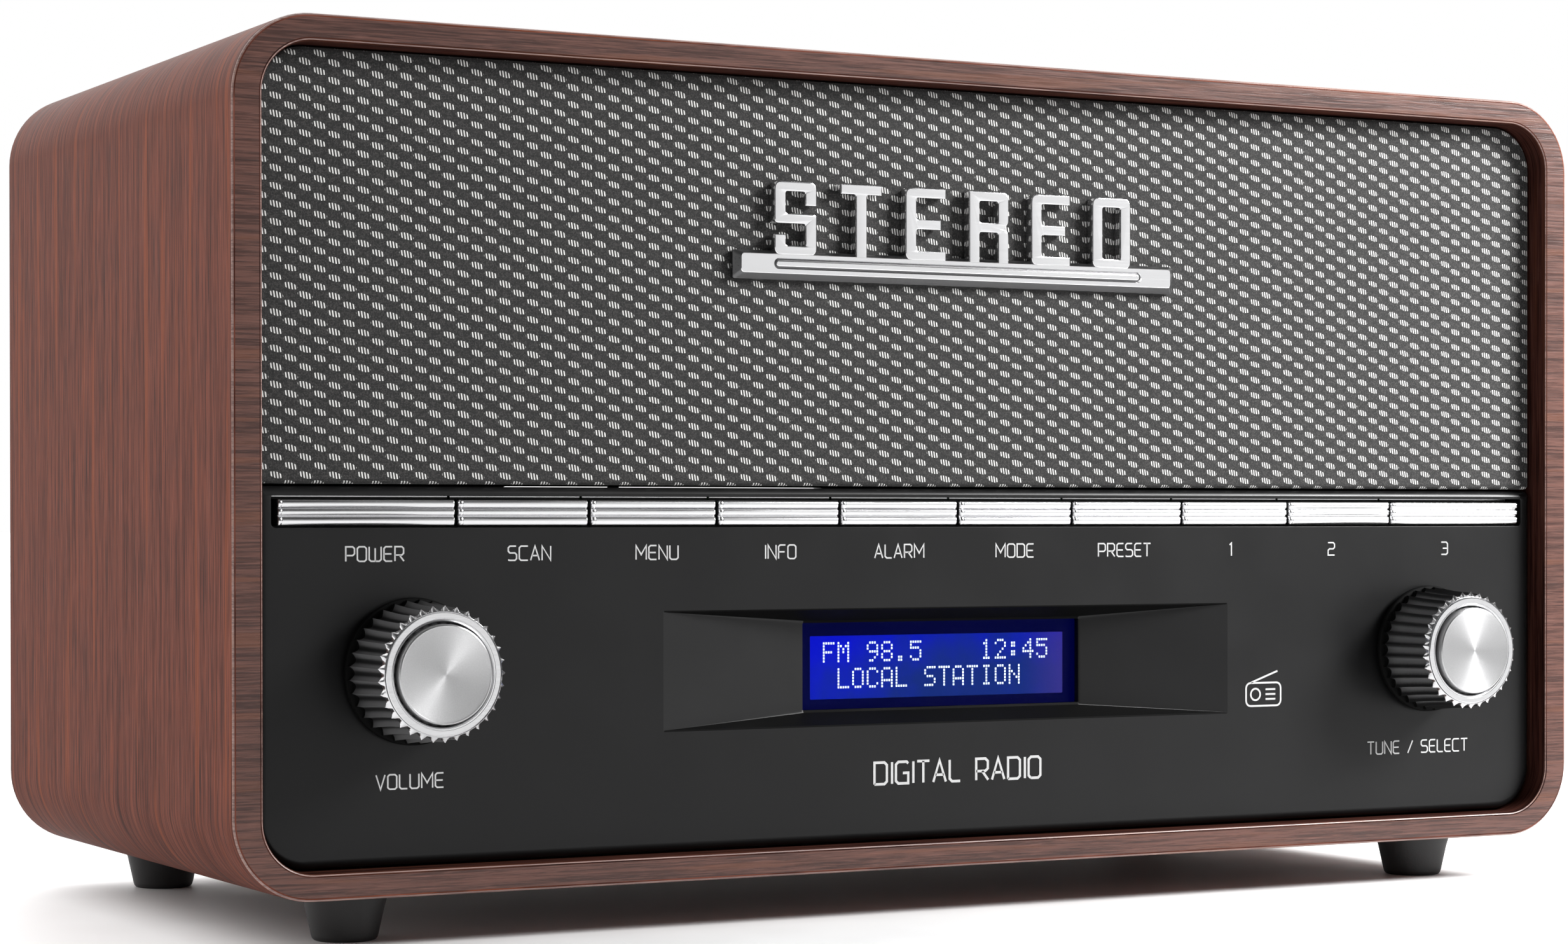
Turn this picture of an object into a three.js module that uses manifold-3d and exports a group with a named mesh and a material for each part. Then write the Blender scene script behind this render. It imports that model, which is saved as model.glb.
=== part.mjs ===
// Tabletop stereo radio: a wrapped wooden cabinet with a cloth grille above a black control
// panel, ten piano keys, two fluted knobs, a two-line display and a telescopic aerial behind.
// Units are millimetres, +Z is up and the front faces -Y. The origin is on the surface the
// feet stand on, under the middle of the whole radio.

import * as THREE from "three";
import { mergeVertices } from "three/addons/utils/BufferGeometryUtils.js";
import Module from "manifold-3d";

const wasm = await Module();
wasm.setup();

// ---------- Driving dimensions ----------

// Clearance kept between pieces that touch on the real radio.
const GAP = 0.3;

// Cabinet. Its own frame has Y = 0 on the front edge and Z = 0 on the underside.
const CABINET_WIDTH = 330;
const CABINET_DEPTH = 154;
const CABINET_HEIGHT = 172;
const SIDE_WALL = 6.3;
const TOP_WALL = 5.4;
const OUTER_RADIUS = 16.5;
const INNER_RADIUS = 10.5;
const PANEL_FIT = 0.4;

// Control panel, the lower part of the front.
const PANEL_FACE = 4.7;
const PANEL_THICKNESS = 4;
const PANEL_TOP = 80.6;

// Cloth grille, the upper part of the front.
const CLOTH_FACE = 5.2;
const CLOTH_THICKNESS = 1;
const CLOTH_BOTTOM = 81.1;
const FRAME_THICKNESS = 3;
const BAFFLE_THICKNESS = 8;

// Speakers.
const SPEAKER_SPACING = 190;
const SPEAKER_HEIGHT = 124;
const SPEAKER_RADIUS = 38.5;

// Key row.
const KEY_NAMES = ["power", "scan", "menu", "info", "alarm", "mode", "preset", "1", "2", "3"];
const KEY_PITCH = 29.15;
const KEY_ROW_LENGTH = 308.6;
const KEY_SPLIT = 0.6;
const KEY_FRONT = 4.4;
const KEY_BOTTOM = 72.8;
const KEY_HEIGHT = 5.3;
const KEY_FLANGE = 9.1;
const SLOT_LENGTH = 310.8;
const SLOT_BOTTOM = 72.5;
const SLOT_HEIGHT = 6.6;

// Display scoop and display.
const SCOOP_WIDTH = 141.4;
const SCOOP_BOTTOM = 30.6;
const SCOOP_HEIGHT = 24.5;
const WINDOW_WIDTH = 69.6;
const WINDOW_BOTTOM = 33.6;
const WINDOW_HEIGHT = 18.5;
const WINDOW_FACE = 11;
const DISPLAY_CENTRE = WINDOW_BOTTOM + WINDOW_HEIGHT / 2;

// Knobs. Their own frame has its origin on the axis at the cabinet's front edge.
const KNOB_SPACING = 253;
const KNOB_HEIGHT = 44.1;
const KNOB_REAR = 3.7;
const KNOB_FRONT = -11;
const KNOB_REAR_RADIUS = 14.6;
const KNOB_FRONT_RADIUS = 13.3;
const KNOB_FLUTES = 33;
const FLUTE_DEPTH = 1.1;
const RING_RADIUS = 12.2;
const RING_BORE = 10.7;
const RING_FRONT = -12.4;
const CAP_RADIUS = 9.75;
const CAP_FRONT = -13.6;
const SHAFT_RADIUS = 3;
const HOLLOW_INNER = 7;
const HOLLOW_OUTER = 11;
const HOLLOW_MOUTH = 12;
const ROUND_SIDES = 24;

// Control board behind the panel.
const BOARD_FRONT = 20;
const BOARD_THICKNESS = 1.6;
const BOARD_BOTTOM = 64;
const BOARD_TOP = 80.2;
const BOARD_LUG = 14;
const SWITCH_SIZE = 6;
const ENCODER_FRONT = 13;
const PLUNGER_RADIUS = 2.6;

// Display glass and the board behind it.
const GLASS_WIDTH = 72;
const GLASS_HEIGHT = 24;
const DISPLAY_BOARD_WIDTH = 80;
const DISPLAY_BOARD_HEIGHT = 36;
const DISPLAY_HOLE_INSET = 2.5;
const CHIP_RADIUS = 6;
const CHIP_X = 18;

// Main board on the floor of the cabinet, and the leads that reach it.
const MAIN_BOARD_WIDTH = 150;
const MAIN_BOARD_FRONT = 58;
const MAIN_BOARD_BACK = 132;
const MAIN_BOARD_Z = 12;
const PILLAR_INSET = 5;
const CAPACITOR_RADIUS = 5;
const CAPACITOR_HEIGHT = 16;
const CAPACITOR_Y = 120;
const HEATSINK_X = 20;
const HEATSINK_Y = 112;
const HEATSINK_WIDTH = 40;
const HEATSINK_HEIGHT = 24;
const FIN_PITCH = 7;
const FIN_LENGTH = 12;
const PROCESSOR_SIZE = 20;
const TUNER_WIDTH = 40;
const TUNER_DEPTH = 30;
const TUNER_HEIGHT = 4.2;
const LEAD_RADIUS = 1.3;

// Rear panel and what it carries.
const REAR_FACE = 150;
const REAR_THICKNESS = 4;
const SCREW_INSET = 13.5;
const SOCKET_HEIGHT = 28;
const DC_X = -52;
const DC_HOLE_RADIUS = 5;
const DC_COLLAR_RADIUS = 6.2;
const DC_FRONT = 134;
const DC_PIN_FRONT = 142;
const JACKS_X = -12;
const JACK_SPACING = 16;
const JACK_HOLE_RADIUS = 4.4;
const JACK_NOSE_RADIUS = 4;
const JACK_BORE = 1.85;
const JACK_BODY_DEPTH = 13;
const VENT_COUNT = 9;
const VENT_LENGTH = 90;
const VENT_BOTTOM = 74;
const VENT_PITCH = 6;
const VENT_HEIGHT = 2.4;

// Aerial. Its own frame has its origin on the swivel axis at the rear panel's face.
const AERIAL_X = 134;
const AERIAL_Z = 146;
const AERIAL_HOLE_RADIUS = 3.4;
const AERIAL_ROD_Y = 9;
const SLEEVE_LENGTH = 186;

// Feet.
const FOOT_HEIGHT = 10;
const FOOT_X = 134.8;
const FOOT_INSET = 19.4;
const FOOT_TOP_RADIUS = 8.8;
const FOOT_BOTTOM_RADIUS = 6;
const FOOT_BORE = 3.6;

// Badge on the cloth.
const BADGE_FACE = 2.6;
const BAR_WIDTH = 107.5;
const BAR_BOTTOM = 125.3;
const BAR_HEIGHT = 4.1;
const LETTER_HEIGHT = 15.5;
const LETTER_WIDTH = 10;
const LETTER_PITCH = 15.8;
const LETTER_OFFSET = -1.4;

// The whole radio runs from the knob caps to the back of the aerial rod.
const REARMOST = REAR_FACE + AERIAL_ROD_Y + 3.6;
const FRONT_EDGE = -(REARMOST + CAP_FRONT) / 2;

// ---------- Materials ----------

function finish(color, roughness, metalness = 0) {
  return new THREE.MeshStandardMaterial({ color, roughness, metalness });
}

const WALNUT = finish(0x5a3025, 0.5);
const BOARD_WOOD = finish(0xa98860, 0.8);
const BLACK_PLASTIC = finish(0x1a1a1b, 0.4);
const BLACK_RUBBER = finish(0x101010, 0.7);
const CHARCOAL_CLOTH = finish(0x4a4748, 0.95);
const CHROME = finish(0xd8d8da, 0.15, 1);
const BRUSHED_ALUMINIUM = finish(0xbfc0c2, 0.3, 1);
const ZINC = finish(0x8f9295, 0.4, 1);
const FERRITE = finish(0x2c2c2e, 0.6);
const PAPER_CONE = finish(0x202022, 0.9);
const CIRCUIT_GREEN = finish(0x1d4a2c, 0.5);
const DISPLAY_BLUE = finish(0x1420c8, 0.2);
const CLEAR_ACRYLIC = finish(0x20243a, 0.05);

// ---------- Geometry helpers ----------

// One closed mesh: shared vertices merged and collapsed triangles dropped.
function closed(geometry) {
  const bare = geometry.clone();
  bare.deleteAttribute("normal");
  bare.deleteAttribute("uv");
  const merged = mergeVertices(bare, 1e-4);
  const old = merged.index.array;
  const kept = [];
  for (let i = 0; i < old.length; i += 3) {
    const [a, b, c] = [old[i], old[i + 1], old[i + 2]];
    if (a !== b && b !== c && c !== a) kept.push(a, b, c);
  }
  merged.setIndex(kept);
  return merged;
}

function toSolid(geometry) {
  const mesh = closed(geometry);
  return new wasm.Manifold(new wasm.Mesh({
    numProp: 3,
    vertProperties: new Float32Array(mesh.attributes.position.array),
    triVerts: new Uint32Array(mesh.index.array),
  }));
}

function toGeometry(solid) {
  const mesh = solid.getMesh();
  const geometry = new THREE.BufferGeometry();
  geometry.setAttribute("position", new THREE.BufferAttribute(new Float32Array(mesh.vertProperties), 3));
  geometry.setIndex(new THREE.BufferAttribute(new Uint32Array(mesh.triVerts), 1));
  return geometry;
}

// Joins the first list of geometries, then cuts the second list away.
function carve(added, removed = []) {
  let solid = toSolid(added[0]);
  for (const geometry of added.slice(1)) solid = solid.add(toSolid(geometry));
  for (const geometry of removed) solid = solid.subtract(toSolid(geometry));
  return toGeometry(solid);
}

function block(x0, x1, y0, y1, z0, z1) {
  const geometry = new THREE.BoxGeometry(x1 - x0, y1 - y0, z1 - z0);
  return geometry.translate((x0 + x1) / 2, (y0 + y1) / 2, (z0 + z1) / 2);
}

// A rounded rectangle drawn in X and Z, as an outline or as a hole.
function roundedRect(width, z0, z1, lowRadius, highRadius = lowRadius, outline = new THREE.Shape()) {
  const x = width / 2;
  outline.moveTo(-x + lowRadius, z0);
  outline.lineTo(x - lowRadius, z0);
  if (lowRadius) outline.absarc(x - lowRadius, z0 + lowRadius, lowRadius, -Math.PI / 2, 0);
  outline.lineTo(x, z1 - highRadius);
  if (highRadius) outline.absarc(x - highRadius, z1 - highRadius, highRadius, 0, Math.PI / 2);
  outline.lineTo(-x + highRadius, z1);
  if (highRadius) outline.absarc(-x + highRadius, z1 - highRadius, highRadius, Math.PI / 2, Math.PI);
  outline.lineTo(-x, z0 + lowRadius);
  if (lowRadius) outline.absarc(-x + lowRadius, z0 + lowRadius, lowRadius, Math.PI, Math.PI * 1.5);
  return outline;
}

// A shape drawn in X and Z, made solid from y0 back to y1.
function plate(shape, y0, y1, curveSegments = 4) {
  const geometry = new THREE.ExtrudeGeometry(shape, { depth: y1 - y0, bevelEnabled: false, curveSegments });
  return geometry.rotateX(Math.PI / 2).translate(0, y1, 0);
}

function rodY(radius, y0, y1, x = 0, z = 0, sides = ROUND_SIDES) {
  return new THREE.CylinderGeometry(radius, radius, y1 - y0, sides).translate(x, (y0 + y1) / 2, z);
}

function rodX(radius, x0, x1, y = 0, z = 0, sides = ROUND_SIDES) {
  const geometry = new THREE.CylinderGeometry(radius, radius, x1 - x0, sides);
  return geometry.rotateZ(Math.PI / 2).translate((x0 + x1) / 2, y, z);
}

function rodZ(radius, z0, z1, x = 0, y = 0, sides = ROUND_SIDES) {
  const geometry = new THREE.CylinderGeometry(radius, radius, z1 - z0, sides);
  return geometry.rotateX(Math.PI / 2).translate(x, y, (z0 + z1) / 2);
}

// Points [radius, y] turned round the Y axis. The outline may be listed in either direction.
function turned(points, sides = ROUND_SIDES) {
  const profile = points.map(([radius, y]) => new THREE.Vector2(radius, y));
  if (THREE.ShapeUtils.area(profile) < 0) profile.reverse();
  return new THREE.LatheGeometry(profile, sides);
}

function rectangle(width, z0, z1) {
  return [[-width / 2, z0], [width / 2, z0], [width / 2, z1], [-width / 2, z1]];
}

// A closed solid between two outlines with the same number of [x, z] points, at y0 and y1.
function loft(front, y0, back, y1) {
  const count = front.length;
  const positions = [];
  const index = [];
  for (const [x, z] of front) positions.push(x, y0, z);
  for (const [x, z] of back) positions.push(x, y1, z);
  for (let i = 0; i < count; i += 1) {
    const next = (i + 1) % count;
    index.push(i, i + count, next, next, i + count, next + count);
  }
  const caps = THREE.ShapeUtils.triangulateShape(front.map(([x, z]) => new THREE.Vector2(x, z)), []);
  for (const [a, b, c] of caps) {
    index.push(a, b, c);
    index.push(a + count, c + count, b + count);
  }
  const geometry = new THREE.BufferGeometry();
  geometry.setAttribute("position", new THREE.Float32BufferAttribute(positions, 3));
  geometry.setIndex(index);
  return geometry;
}

function piece(name, geometry, material, parent, x = 0, y = 0, z = 0) {
  const mesh = new THREE.Mesh(closed(geometry), material);
  mesh.name = name;
  mesh.position.set(x, y, z);
  parent.add(mesh);
  return mesh;
}

function subGroup(parent, x, y, z) {
  const group = new THREE.Group();
  group.position.set(x, y, z);
  parent.add(group);
  return group;
}

const CORNERS = [["front_left", -1, -1], ["front_right", 1, -1], ["rear_left", -1, 1], ["rear_right", 1, 1]];

// ---------- Cabinet ----------

const INNER_WIDTH = CABINET_WIDTH - 2 * SIDE_WALL;
const INNER_TOP = CABINET_HEIGHT - TOP_WALL;
const FIT_WIDTH = INNER_WIDTH - 2 * PANEL_FIT;
const FIT_BOTTOM = TOP_WALL + PANEL_FIT;
const FIT_TOP = INNER_TOP - PANEL_FIT;
const FIT_RADIUS = INNER_RADIUS - PANEL_FIT;
const SCREW_HOLE = 2;
const CLEAT_SIZE = 15;
const CLEAT_BACK = REAR_FACE - REAR_THICKNESS - GAP;
const CLEAT_DEPTH = 14;

function footPlace(sideX, sideY) {
  const y = sideY < 0 ? FOOT_INSET : CABINET_DEPTH - FOOT_INSET;
  return [sideX * FOOT_X, y];
}

function rearScrewPlace(sideX, sideZ) {
  const x = sideX * (CABINET_WIDTH / 2 - SCREW_INSET);
  const z = sideZ < 0 ? SCREW_INSET : CABINET_HEIGHT - SCREW_INSET;
  return [x, z];
}

// A wrapped shell, open at the front and back, with a screw cleat in each rear corner.
function cabinetShell() {
  const outline = roundedRect(CABINET_WIDTH, 0, CABINET_HEIGHT, OUTER_RADIUS);
  const opening = roundedRect(INNER_WIDTH, TOP_WALL, INNER_TOP, INNER_RADIUS, INNER_RADIUS, new THREE.Path());
  outline.holes.push(opening);
  const added = [plate(outline, 0, CABINET_DEPTH, 5)];
  const removed = [];
  const inside = INNER_WIDTH / 2 + 0.5;
  for (const [, sideX, side] of CORNERS) {
    const x0 = sideX < 0 ? -inside : inside - CLEAT_SIZE;
    const z0 = side < 0 ? TOP_WALL - 0.5 : INNER_TOP + 0.5 - CLEAT_SIZE;
    added.push(block(x0, x0 + CLEAT_SIZE, CLEAT_BACK - CLEAT_DEPTH, CLEAT_BACK, z0, z0 + CLEAT_SIZE));
    const [screwX, screwZ] = rearScrewPlace(sideX, side);
    removed.push(rodY(SCREW_HOLE, CLEAT_BACK - CLEAT_DEPTH - 1, CLEAT_BACK + 1, screwX, screwZ, 16));
    const [footX, footY] = footPlace(sideX, side);
    removed.push(rodZ(SCREW_HOLE, -1, TOP_WALL + 1, footX, footY, 16));
  }
  return carve(added, removed);
}

// ---------- Front: grille, baffle and badge ----------

const FRAME_FRONT = CLOTH_FACE + CLOTH_THICKNESS + GAP;
const BAFFLE_FRONT = FRAME_FRONT + FRAME_THICKNESS + GAP;
const BAFFLE_BACK = BAFFLE_FRONT + BAFFLE_THICKNESS;
const SPEAKER_HOLE = 31.5;

function speakerHoles(shape, radius) {
  for (const side of [-1, 1]) {
    const hole = new THREE.Path();
    hole.absarc(side * SPEAKER_SPACING / 2, SPEAKER_HEIGHT, radius, 0, Math.PI * 2);
    shape.holes.push(hole);
  }
  return shape;
}

function grilleCloth() {
  const outline = roundedRect(FIT_WIDTH, CLOTH_BOTTOM, FIT_TOP, 1, FIT_RADIUS);
  return plate(outline, CLOTH_FACE, CLOTH_FACE + CLOTH_THICKNESS);
}

function grilleFrame() {
  const shape = roundedRect(FIT_WIDTH - 2, CLOTH_BOTTOM + 1, FIT_TOP - 1, 1, FIT_RADIUS - 1);
  return plate(speakerHoles(shape, SPEAKER_HOLE + 2), FRAME_FRONT, FRAME_FRONT + FRAME_THICKNESS, 6);
}

function frontBaffle() {
  const shape = roundedRect(FIT_WIDTH, CLOTH_BOTTOM + 2, FIT_TOP, 1, FIT_RADIUS);
  return plate(speakerHoles(shape, SPEAKER_HOLE), BAFFLE_FRONT, BAFFLE_BACK, 6);
}

// Plain block letters as strokes [x0, z0, x1, z1] in fractions of the letter's width and height.
const STROKE_X = 0.27;
const STROKE_Z = 0.15;
const UPRIGHT = 1 - STROKE_X;
const MIDDLE = 0.5 - STROKE_Z / 2;
const LEFT_BAR = [0, 0, STROKE_X, 1];
const RIGHT_BAR = [UPRIGHT, 0, 1, 1];
const TOP_BAR = [0, 1 - STROKE_Z, 1, 1];
const MIDDLE_BAR = [0, MIDDLE, 1, MIDDLE + STROKE_Z];
const BOTTOM_BAR = [0, 0, 1, STROKE_Z];
const LETTERS = {
  S: [TOP_BAR, MIDDLE_BAR, BOTTOM_BAR, [0, MIDDLE, STROKE_X, 1], [UPRIGHT, 0, 1, 0.5]],
  T: [TOP_BAR, [0.5 - STROKE_X / 2, 0, 0.5 + STROKE_X / 2, 1]],
  E: [LEFT_BAR, TOP_BAR, BOTTOM_BAR, [0, MIDDLE, 0.85, MIDDLE + STROKE_Z]],
  R: [LEFT_BAR, TOP_BAR, MIDDLE_BAR, [UPRIGHT, 0.5, 1, 1], [0.6, 0, 0.6 + STROKE_X, 0.5]],
  O: [LEFT_BAR, RIGHT_BAR, TOP_BAR, BOTTOM_BAR],
};
const BADGE_WORD = "STEREO";

// A tapered bar with plain raised letters standing on it.
function badge() {
  const back = CLOTH_FACE - GAP;
  const barTop = BAR_BOTTOM + BAR_HEIGHT;
  const draft = 1.3;
  const front = rectangle(BAR_WIDTH, BAR_BOTTOM, barTop);
  const foot = rectangle(BAR_WIDTH + 2 * draft, BAR_BOTTOM - draft, barTop + draft / 2);
  const added = [loft(front, BADGE_FACE, foot, back)];
  [...BADGE_WORD].forEach((letter, i) => {
    const centre = LETTER_OFFSET + (i - (BADGE_WORD.length - 1) / 2) * LETTER_PITCH;
    const left = centre - LETTER_WIDTH / 2;
    for (const [x0, z0, x1, z1] of LETTERS[letter]) {
      const low = z0 === 0 ? barTop - 1 : barTop + z0 * LETTER_HEIGHT;
      added.push(block(left + x0 * LETTER_WIDTH, left + x1 * LETTER_WIDTH, BADGE_FACE, back,
        low, barTop + z1 * LETTER_HEIGHT));
    }
  });
  return carve(added);
}

// ---------- Control panel ----------

const PANEL_BACK = PANEL_FACE + PANEL_THICKNESS;
const HOUSING_BACK = WINDOW_FACE + 1.6;
const BUSHING_RADIUS = 4.2;

// The scoop narrows from its outline on the panel's face to the window at its floor, and is
// carried a little past both so that it cuts cleanly.
function scoopCavity() {
  const spill = 0.1;
  const widen = (outer, inner) => outer + (outer - inner) * spill;
  const front = rectangle(widen(SCOOP_WIDTH, WINDOW_WIDTH), widen(SCOOP_BOTTOM, WINDOW_BOTTOM),
    widen(SCOOP_BOTTOM + SCOOP_HEIGHT, WINDOW_BOTTOM + WINDOW_HEIGHT));
  const floor = rectangle(WINDOW_WIDTH, WINDOW_BOTTOM, WINDOW_BOTTOM + WINDOW_HEIGHT);
  return loft(front, PANEL_FACE - (WINDOW_FACE - PANEL_FACE) * spill, floor, WINDOW_FACE);
}

function controlPanel() {
  const outline = roundedRect(FIT_WIDTH, FIT_BOTTOM, PANEL_TOP, FIT_RADIUS, 1);
  const housing = block(-SCOOP_WIDTH / 2, SCOOP_WIDTH / 2, PANEL_FACE + 1, HOUSING_BACK,
    SCOOP_BOTTOM - 2, SCOOP_BOTTOM + SCOOP_HEIGHT + 2);
  const slot = block(-SLOT_LENGTH / 2, SLOT_LENGTH / 2, 0, HOUSING_BACK,
    SLOT_BOTTOM, SLOT_BOTTOM + SLOT_HEIGHT);
  const window = block(-WINDOW_WIDTH / 2, WINDOW_WIDTH / 2, WINDOW_FACE - 1, HOUSING_BACK + 1,
    WINDOW_BOTTOM, WINDOW_BOTTOM + WINDOW_HEIGHT);
  const removed = [slot, scoopCavity(), window];
  for (const side of [-1, 1]) {
    removed.push(rodY(BUSHING_RADIUS + GAP, 0, HOUSING_BACK, side * KNOB_SPACING / 2, KNOB_HEIGHT));
  }
  return carve([plate(outline, PANEL_FACE, PANEL_BACK), housing], removed);
}

// ---------- Keys ----------

const ROLL_JOINTS = [0, 0.34, 0.61, 1];
const ROLL_STEPS = 4;
const ROLL_BULGE = 0.84;
const KEY_BAR_BACK = KEY_FLANGE + 1.5;
const STEM_BACK = 16;
const STEM_WIDTH = 6;
const FLANGE_OVERLAP = 1.9;

function keySpan(index) {
  const last = KEY_NAMES.length - 1;
  const half = KEY_ROW_LENGTH / 2;
  const left = index === 0 ? -half : (index - KEY_NAMES.length / 2) * KEY_PITCH + KEY_SPLIT / 2;
  const right = index === last ? half : (index + 1 - KEY_NAMES.length / 2) * KEY_PITCH - KEY_SPLIT / 2;
  return [left, right];
}

// A key's section in depth and height: three rounded rolls down the front of a bar, and a
// taller flange behind the panel that stops it.
function keySection() {
  const keyTop = KEY_BOTTOM + KEY_HEIGHT;
  const shape = new THREE.Shape();
  shape.moveTo(KEY_BAR_BACK, keyTop + FLANGE_OVERLAP);
  shape.lineTo(KEY_FLANGE, keyTop + FLANGE_OVERLAP);
  shape.lineTo(KEY_FLANGE, keyTop);
  for (let roll = 0; roll < 3; roll += 1) {
    const top = keyTop - KEY_HEIGHT * ROLL_JOINTS[roll];
    const bottom = keyTop - KEY_HEIGHT * ROLL_JOINTS[roll + 1];
    const radius = (top - bottom) / 2;
    const bulge = radius * ROLL_BULGE;
    for (let step = roll ? 1 : 0; step <= ROLL_STEPS; step += 1) {
      const angle = (step / ROLL_STEPS) * Math.PI;
      const y = KEY_FRONT + bulge * (1 - Math.sin(angle));
      shape.lineTo(y, (top + bottom) / 2 + Math.cos(angle) * radius);
    }
  }
  shape.lineTo(KEY_FLANGE, KEY_BOTTOM);
  shape.lineTo(KEY_FLANGE, KEY_BOTTOM - FLANGE_OVERLAP);
  shape.lineTo(KEY_BAR_BACK, KEY_BOTTOM - FLANGE_OVERLAP);
  return shape;
}

function key(left, right) {
  const bar = new THREE.ExtrudeGeometry(keySection(), { depth: right - left, bevelEnabled: false });
  bar.rotateX(Math.PI / 2).rotateZ(Math.PI / 2).translate(left, 0, 0);
  const centre = (left + right) / 2;
  const stem = block(centre - STEM_WIDTH / 2, centre + STEM_WIDTH / 2, KEY_FLANGE + 0.5, STEM_BACK,
    KEY_BOTTOM + 1, KEY_BOTTOM + KEY_HEIGHT - 1);
  return carve([bar, stem]);
}

// ---------- Knobs ----------

// A ring of [x, z] points with one crest and a round hollow for each flute.
function flutedOutline(radius, depth) {
  const points = [];
  const steps = 3;
  for (let i = 0; i < KNOB_FLUTES * steps; i += 1) {
    const angle = (i / (KNOB_FLUTES * steps)) * Math.PI * 2;
    const across = (i % steps) / steps;
    const reach = radius - depth * Math.sin(across * Math.PI);
    points.push([reach * Math.cos(angle), reach * Math.sin(angle)]);
  }
  return points;
}

function knobBody() {
  const back = flutedOutline(KNOB_REAR_RADIUS, FLUTE_DEPTH);
  const front = flutedOutline(KNOB_FRONT_RADIUS, FLUTE_DEPTH);
  const bore = rodY(SHAFT_RADIUS + GAP, KNOB_FRONT + 3, KNOB_REAR + 1);
  const floor = KNOB_FRONT + 4;
  const mouth = KNOB_REAR + 1;
  const hollow = turned([[HOLLOW_INNER, mouth], [HOLLOW_INNER, floor], [HOLLOW_OUTER, floor],
    [HOLLOW_MOUTH, mouth], [HOLLOW_INNER, mouth]]);
  return carve([loft(front, KNOB_FRONT, back, KNOB_REAR)], [bore, hollow]);
}

// The bright bezel: a toothed flange that follows the flutes, with a raised round rim.
function knobRing() {
  const back = KNOB_FRONT - GAP;
  const teeth = flutedOutline(KNOB_FRONT_RADIUS + 0.1, FLUTE_DEPTH);
  const flange = loft(teeth, RING_FRONT + 0.5, teeth, back);
  return carve([flange, rodY(RING_RADIUS, RING_FRONT, back, 0, 0, 36)],
    [rodY(RING_BORE, RING_FRONT - 1, back + 1, 0, 0, 36)]);
}

function knobCap() {
  const back = KNOB_FRONT - GAP;
  const chamfer = 0.25;
  const dish = 0.15;
  return turned([[0, back], [CAP_RADIUS, back], [CAP_RADIUS, CAP_FRONT + chamfer],
    [CAP_RADIUS - chamfer, CAP_FRONT], [0, CAP_FRONT + dish]], 36);
}

const SHAFT_END = 17;

function shaft() {
  return rodY(SHAFT_RADIUS, KNOB_FRONT + 3 + GAP, SHAFT_END);
}

function knob(name, parent, x) {
  const group = subGroup(parent, x, 0, KNOB_HEIGHT);
  piece(`${name}_knob_body`, knobBody(), BLACK_PLASTIC, group);
  piece(`${name}_knob_ring`, knobRing(), CHROME, group);
  piece(`${name}_knob_cap`, knobCap(), BRUSHED_ALUMINIUM, group);
  piece(`${name}_shaft`, shaft(), ZINC, group);
  return group;
}

// ---------- Control board, display ----------

const SWITCH_FRONT = 18.1;
const ENCODER_SIZE = 12;
const BORE_END = BOARD_FRONT - GAP;

// One circuit board with a switch behind each key and an encoder behind each knob.
function controlBoard() {
  const boardBack = BOARD_FRONT + BOARD_THICKNESS;
  const rowEnd = KEY_ROW_LENGTH / 2;
  const added = [block(-rowEnd, rowEnd, BOARD_FRONT, boardBack, BOARD_BOTTOM, BOARD_TOP)];
  const removed = [];
  KEY_NAMES.forEach((name, i) => {
    const [left, right] = keySpan(i);
    const x = (left + right) / 2;
    const z = KEY_BOTTOM + KEY_HEIGHT / 2;
    const half = SWITCH_SIZE / 2;
    added.push(block(x - half, x + half, SWITCH_FRONT + 0.8, BOARD_FRONT + 0.5, z - half, z + half));
    added.push(rodY(1.6, SWITCH_FRONT, BOARD_FRONT, x, z, 8));
  });
  for (const side of [-1, 1]) {
    const x = side * KNOB_SPACING / 2;
    const half = ENCODER_SIZE / 2;
    const low = KNOB_HEIGHT - BOARD_LUG;
    added.push(block(x - BOARD_LUG, x + BOARD_LUG, BOARD_FRONT, boardBack, low, BOARD_BOTTOM + 2));
    added.push(block(x - half, x + half, ENCODER_FRONT, BOARD_FRONT + 0.5,
      KNOB_HEIGHT - half, KNOB_HEIGHT + half));
    added.push(rodY(BUSHING_RADIUS, PANEL_FACE + 1, ENCODER_FRONT + 1, x, KNOB_HEIGHT));
    removed.push(rodY(SHAFT_RADIUS + GAP, 0, BORE_END, x, KNOB_HEIGHT));
  }
  return carve(added, removed);
}

// The non-turning plunger that the tuning shaft presses.
function tunePlunger() {
  return rodY(PLUNGER_RADIUS, SHAFT_END + GAP, SHAFT_END + 1.8);
}

const LENS_INSET = 0.4;
const LENS_THICKNESS = 0.8;
const GLASS_FRONT = HOUSING_BACK + GAP;
const GLASS_BACK = GLASS_FRONT + 2.8;

function displayWindow() {
  const margin = GAP + 0.05;
  const front = WINDOW_FACE + LENS_INSET;
  return block(-WINDOW_WIDTH / 2 + margin, WINDOW_WIDTH / 2 - margin, front, front + LENS_THICKNESS,
    WINDOW_BOTTOM + margin, WINDOW_BOTTOM + WINDOW_HEIGHT - margin);
}

function displayGlass() {
  return block(-GLASS_WIDTH / 2, GLASS_WIDTH / 2, GLASS_FRONT, GLASS_BACK,
    DISPLAY_CENTRE - GLASS_HEIGHT / 2, DISPLAY_CENTRE + GLASS_HEIGHT / 2);
}

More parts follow.
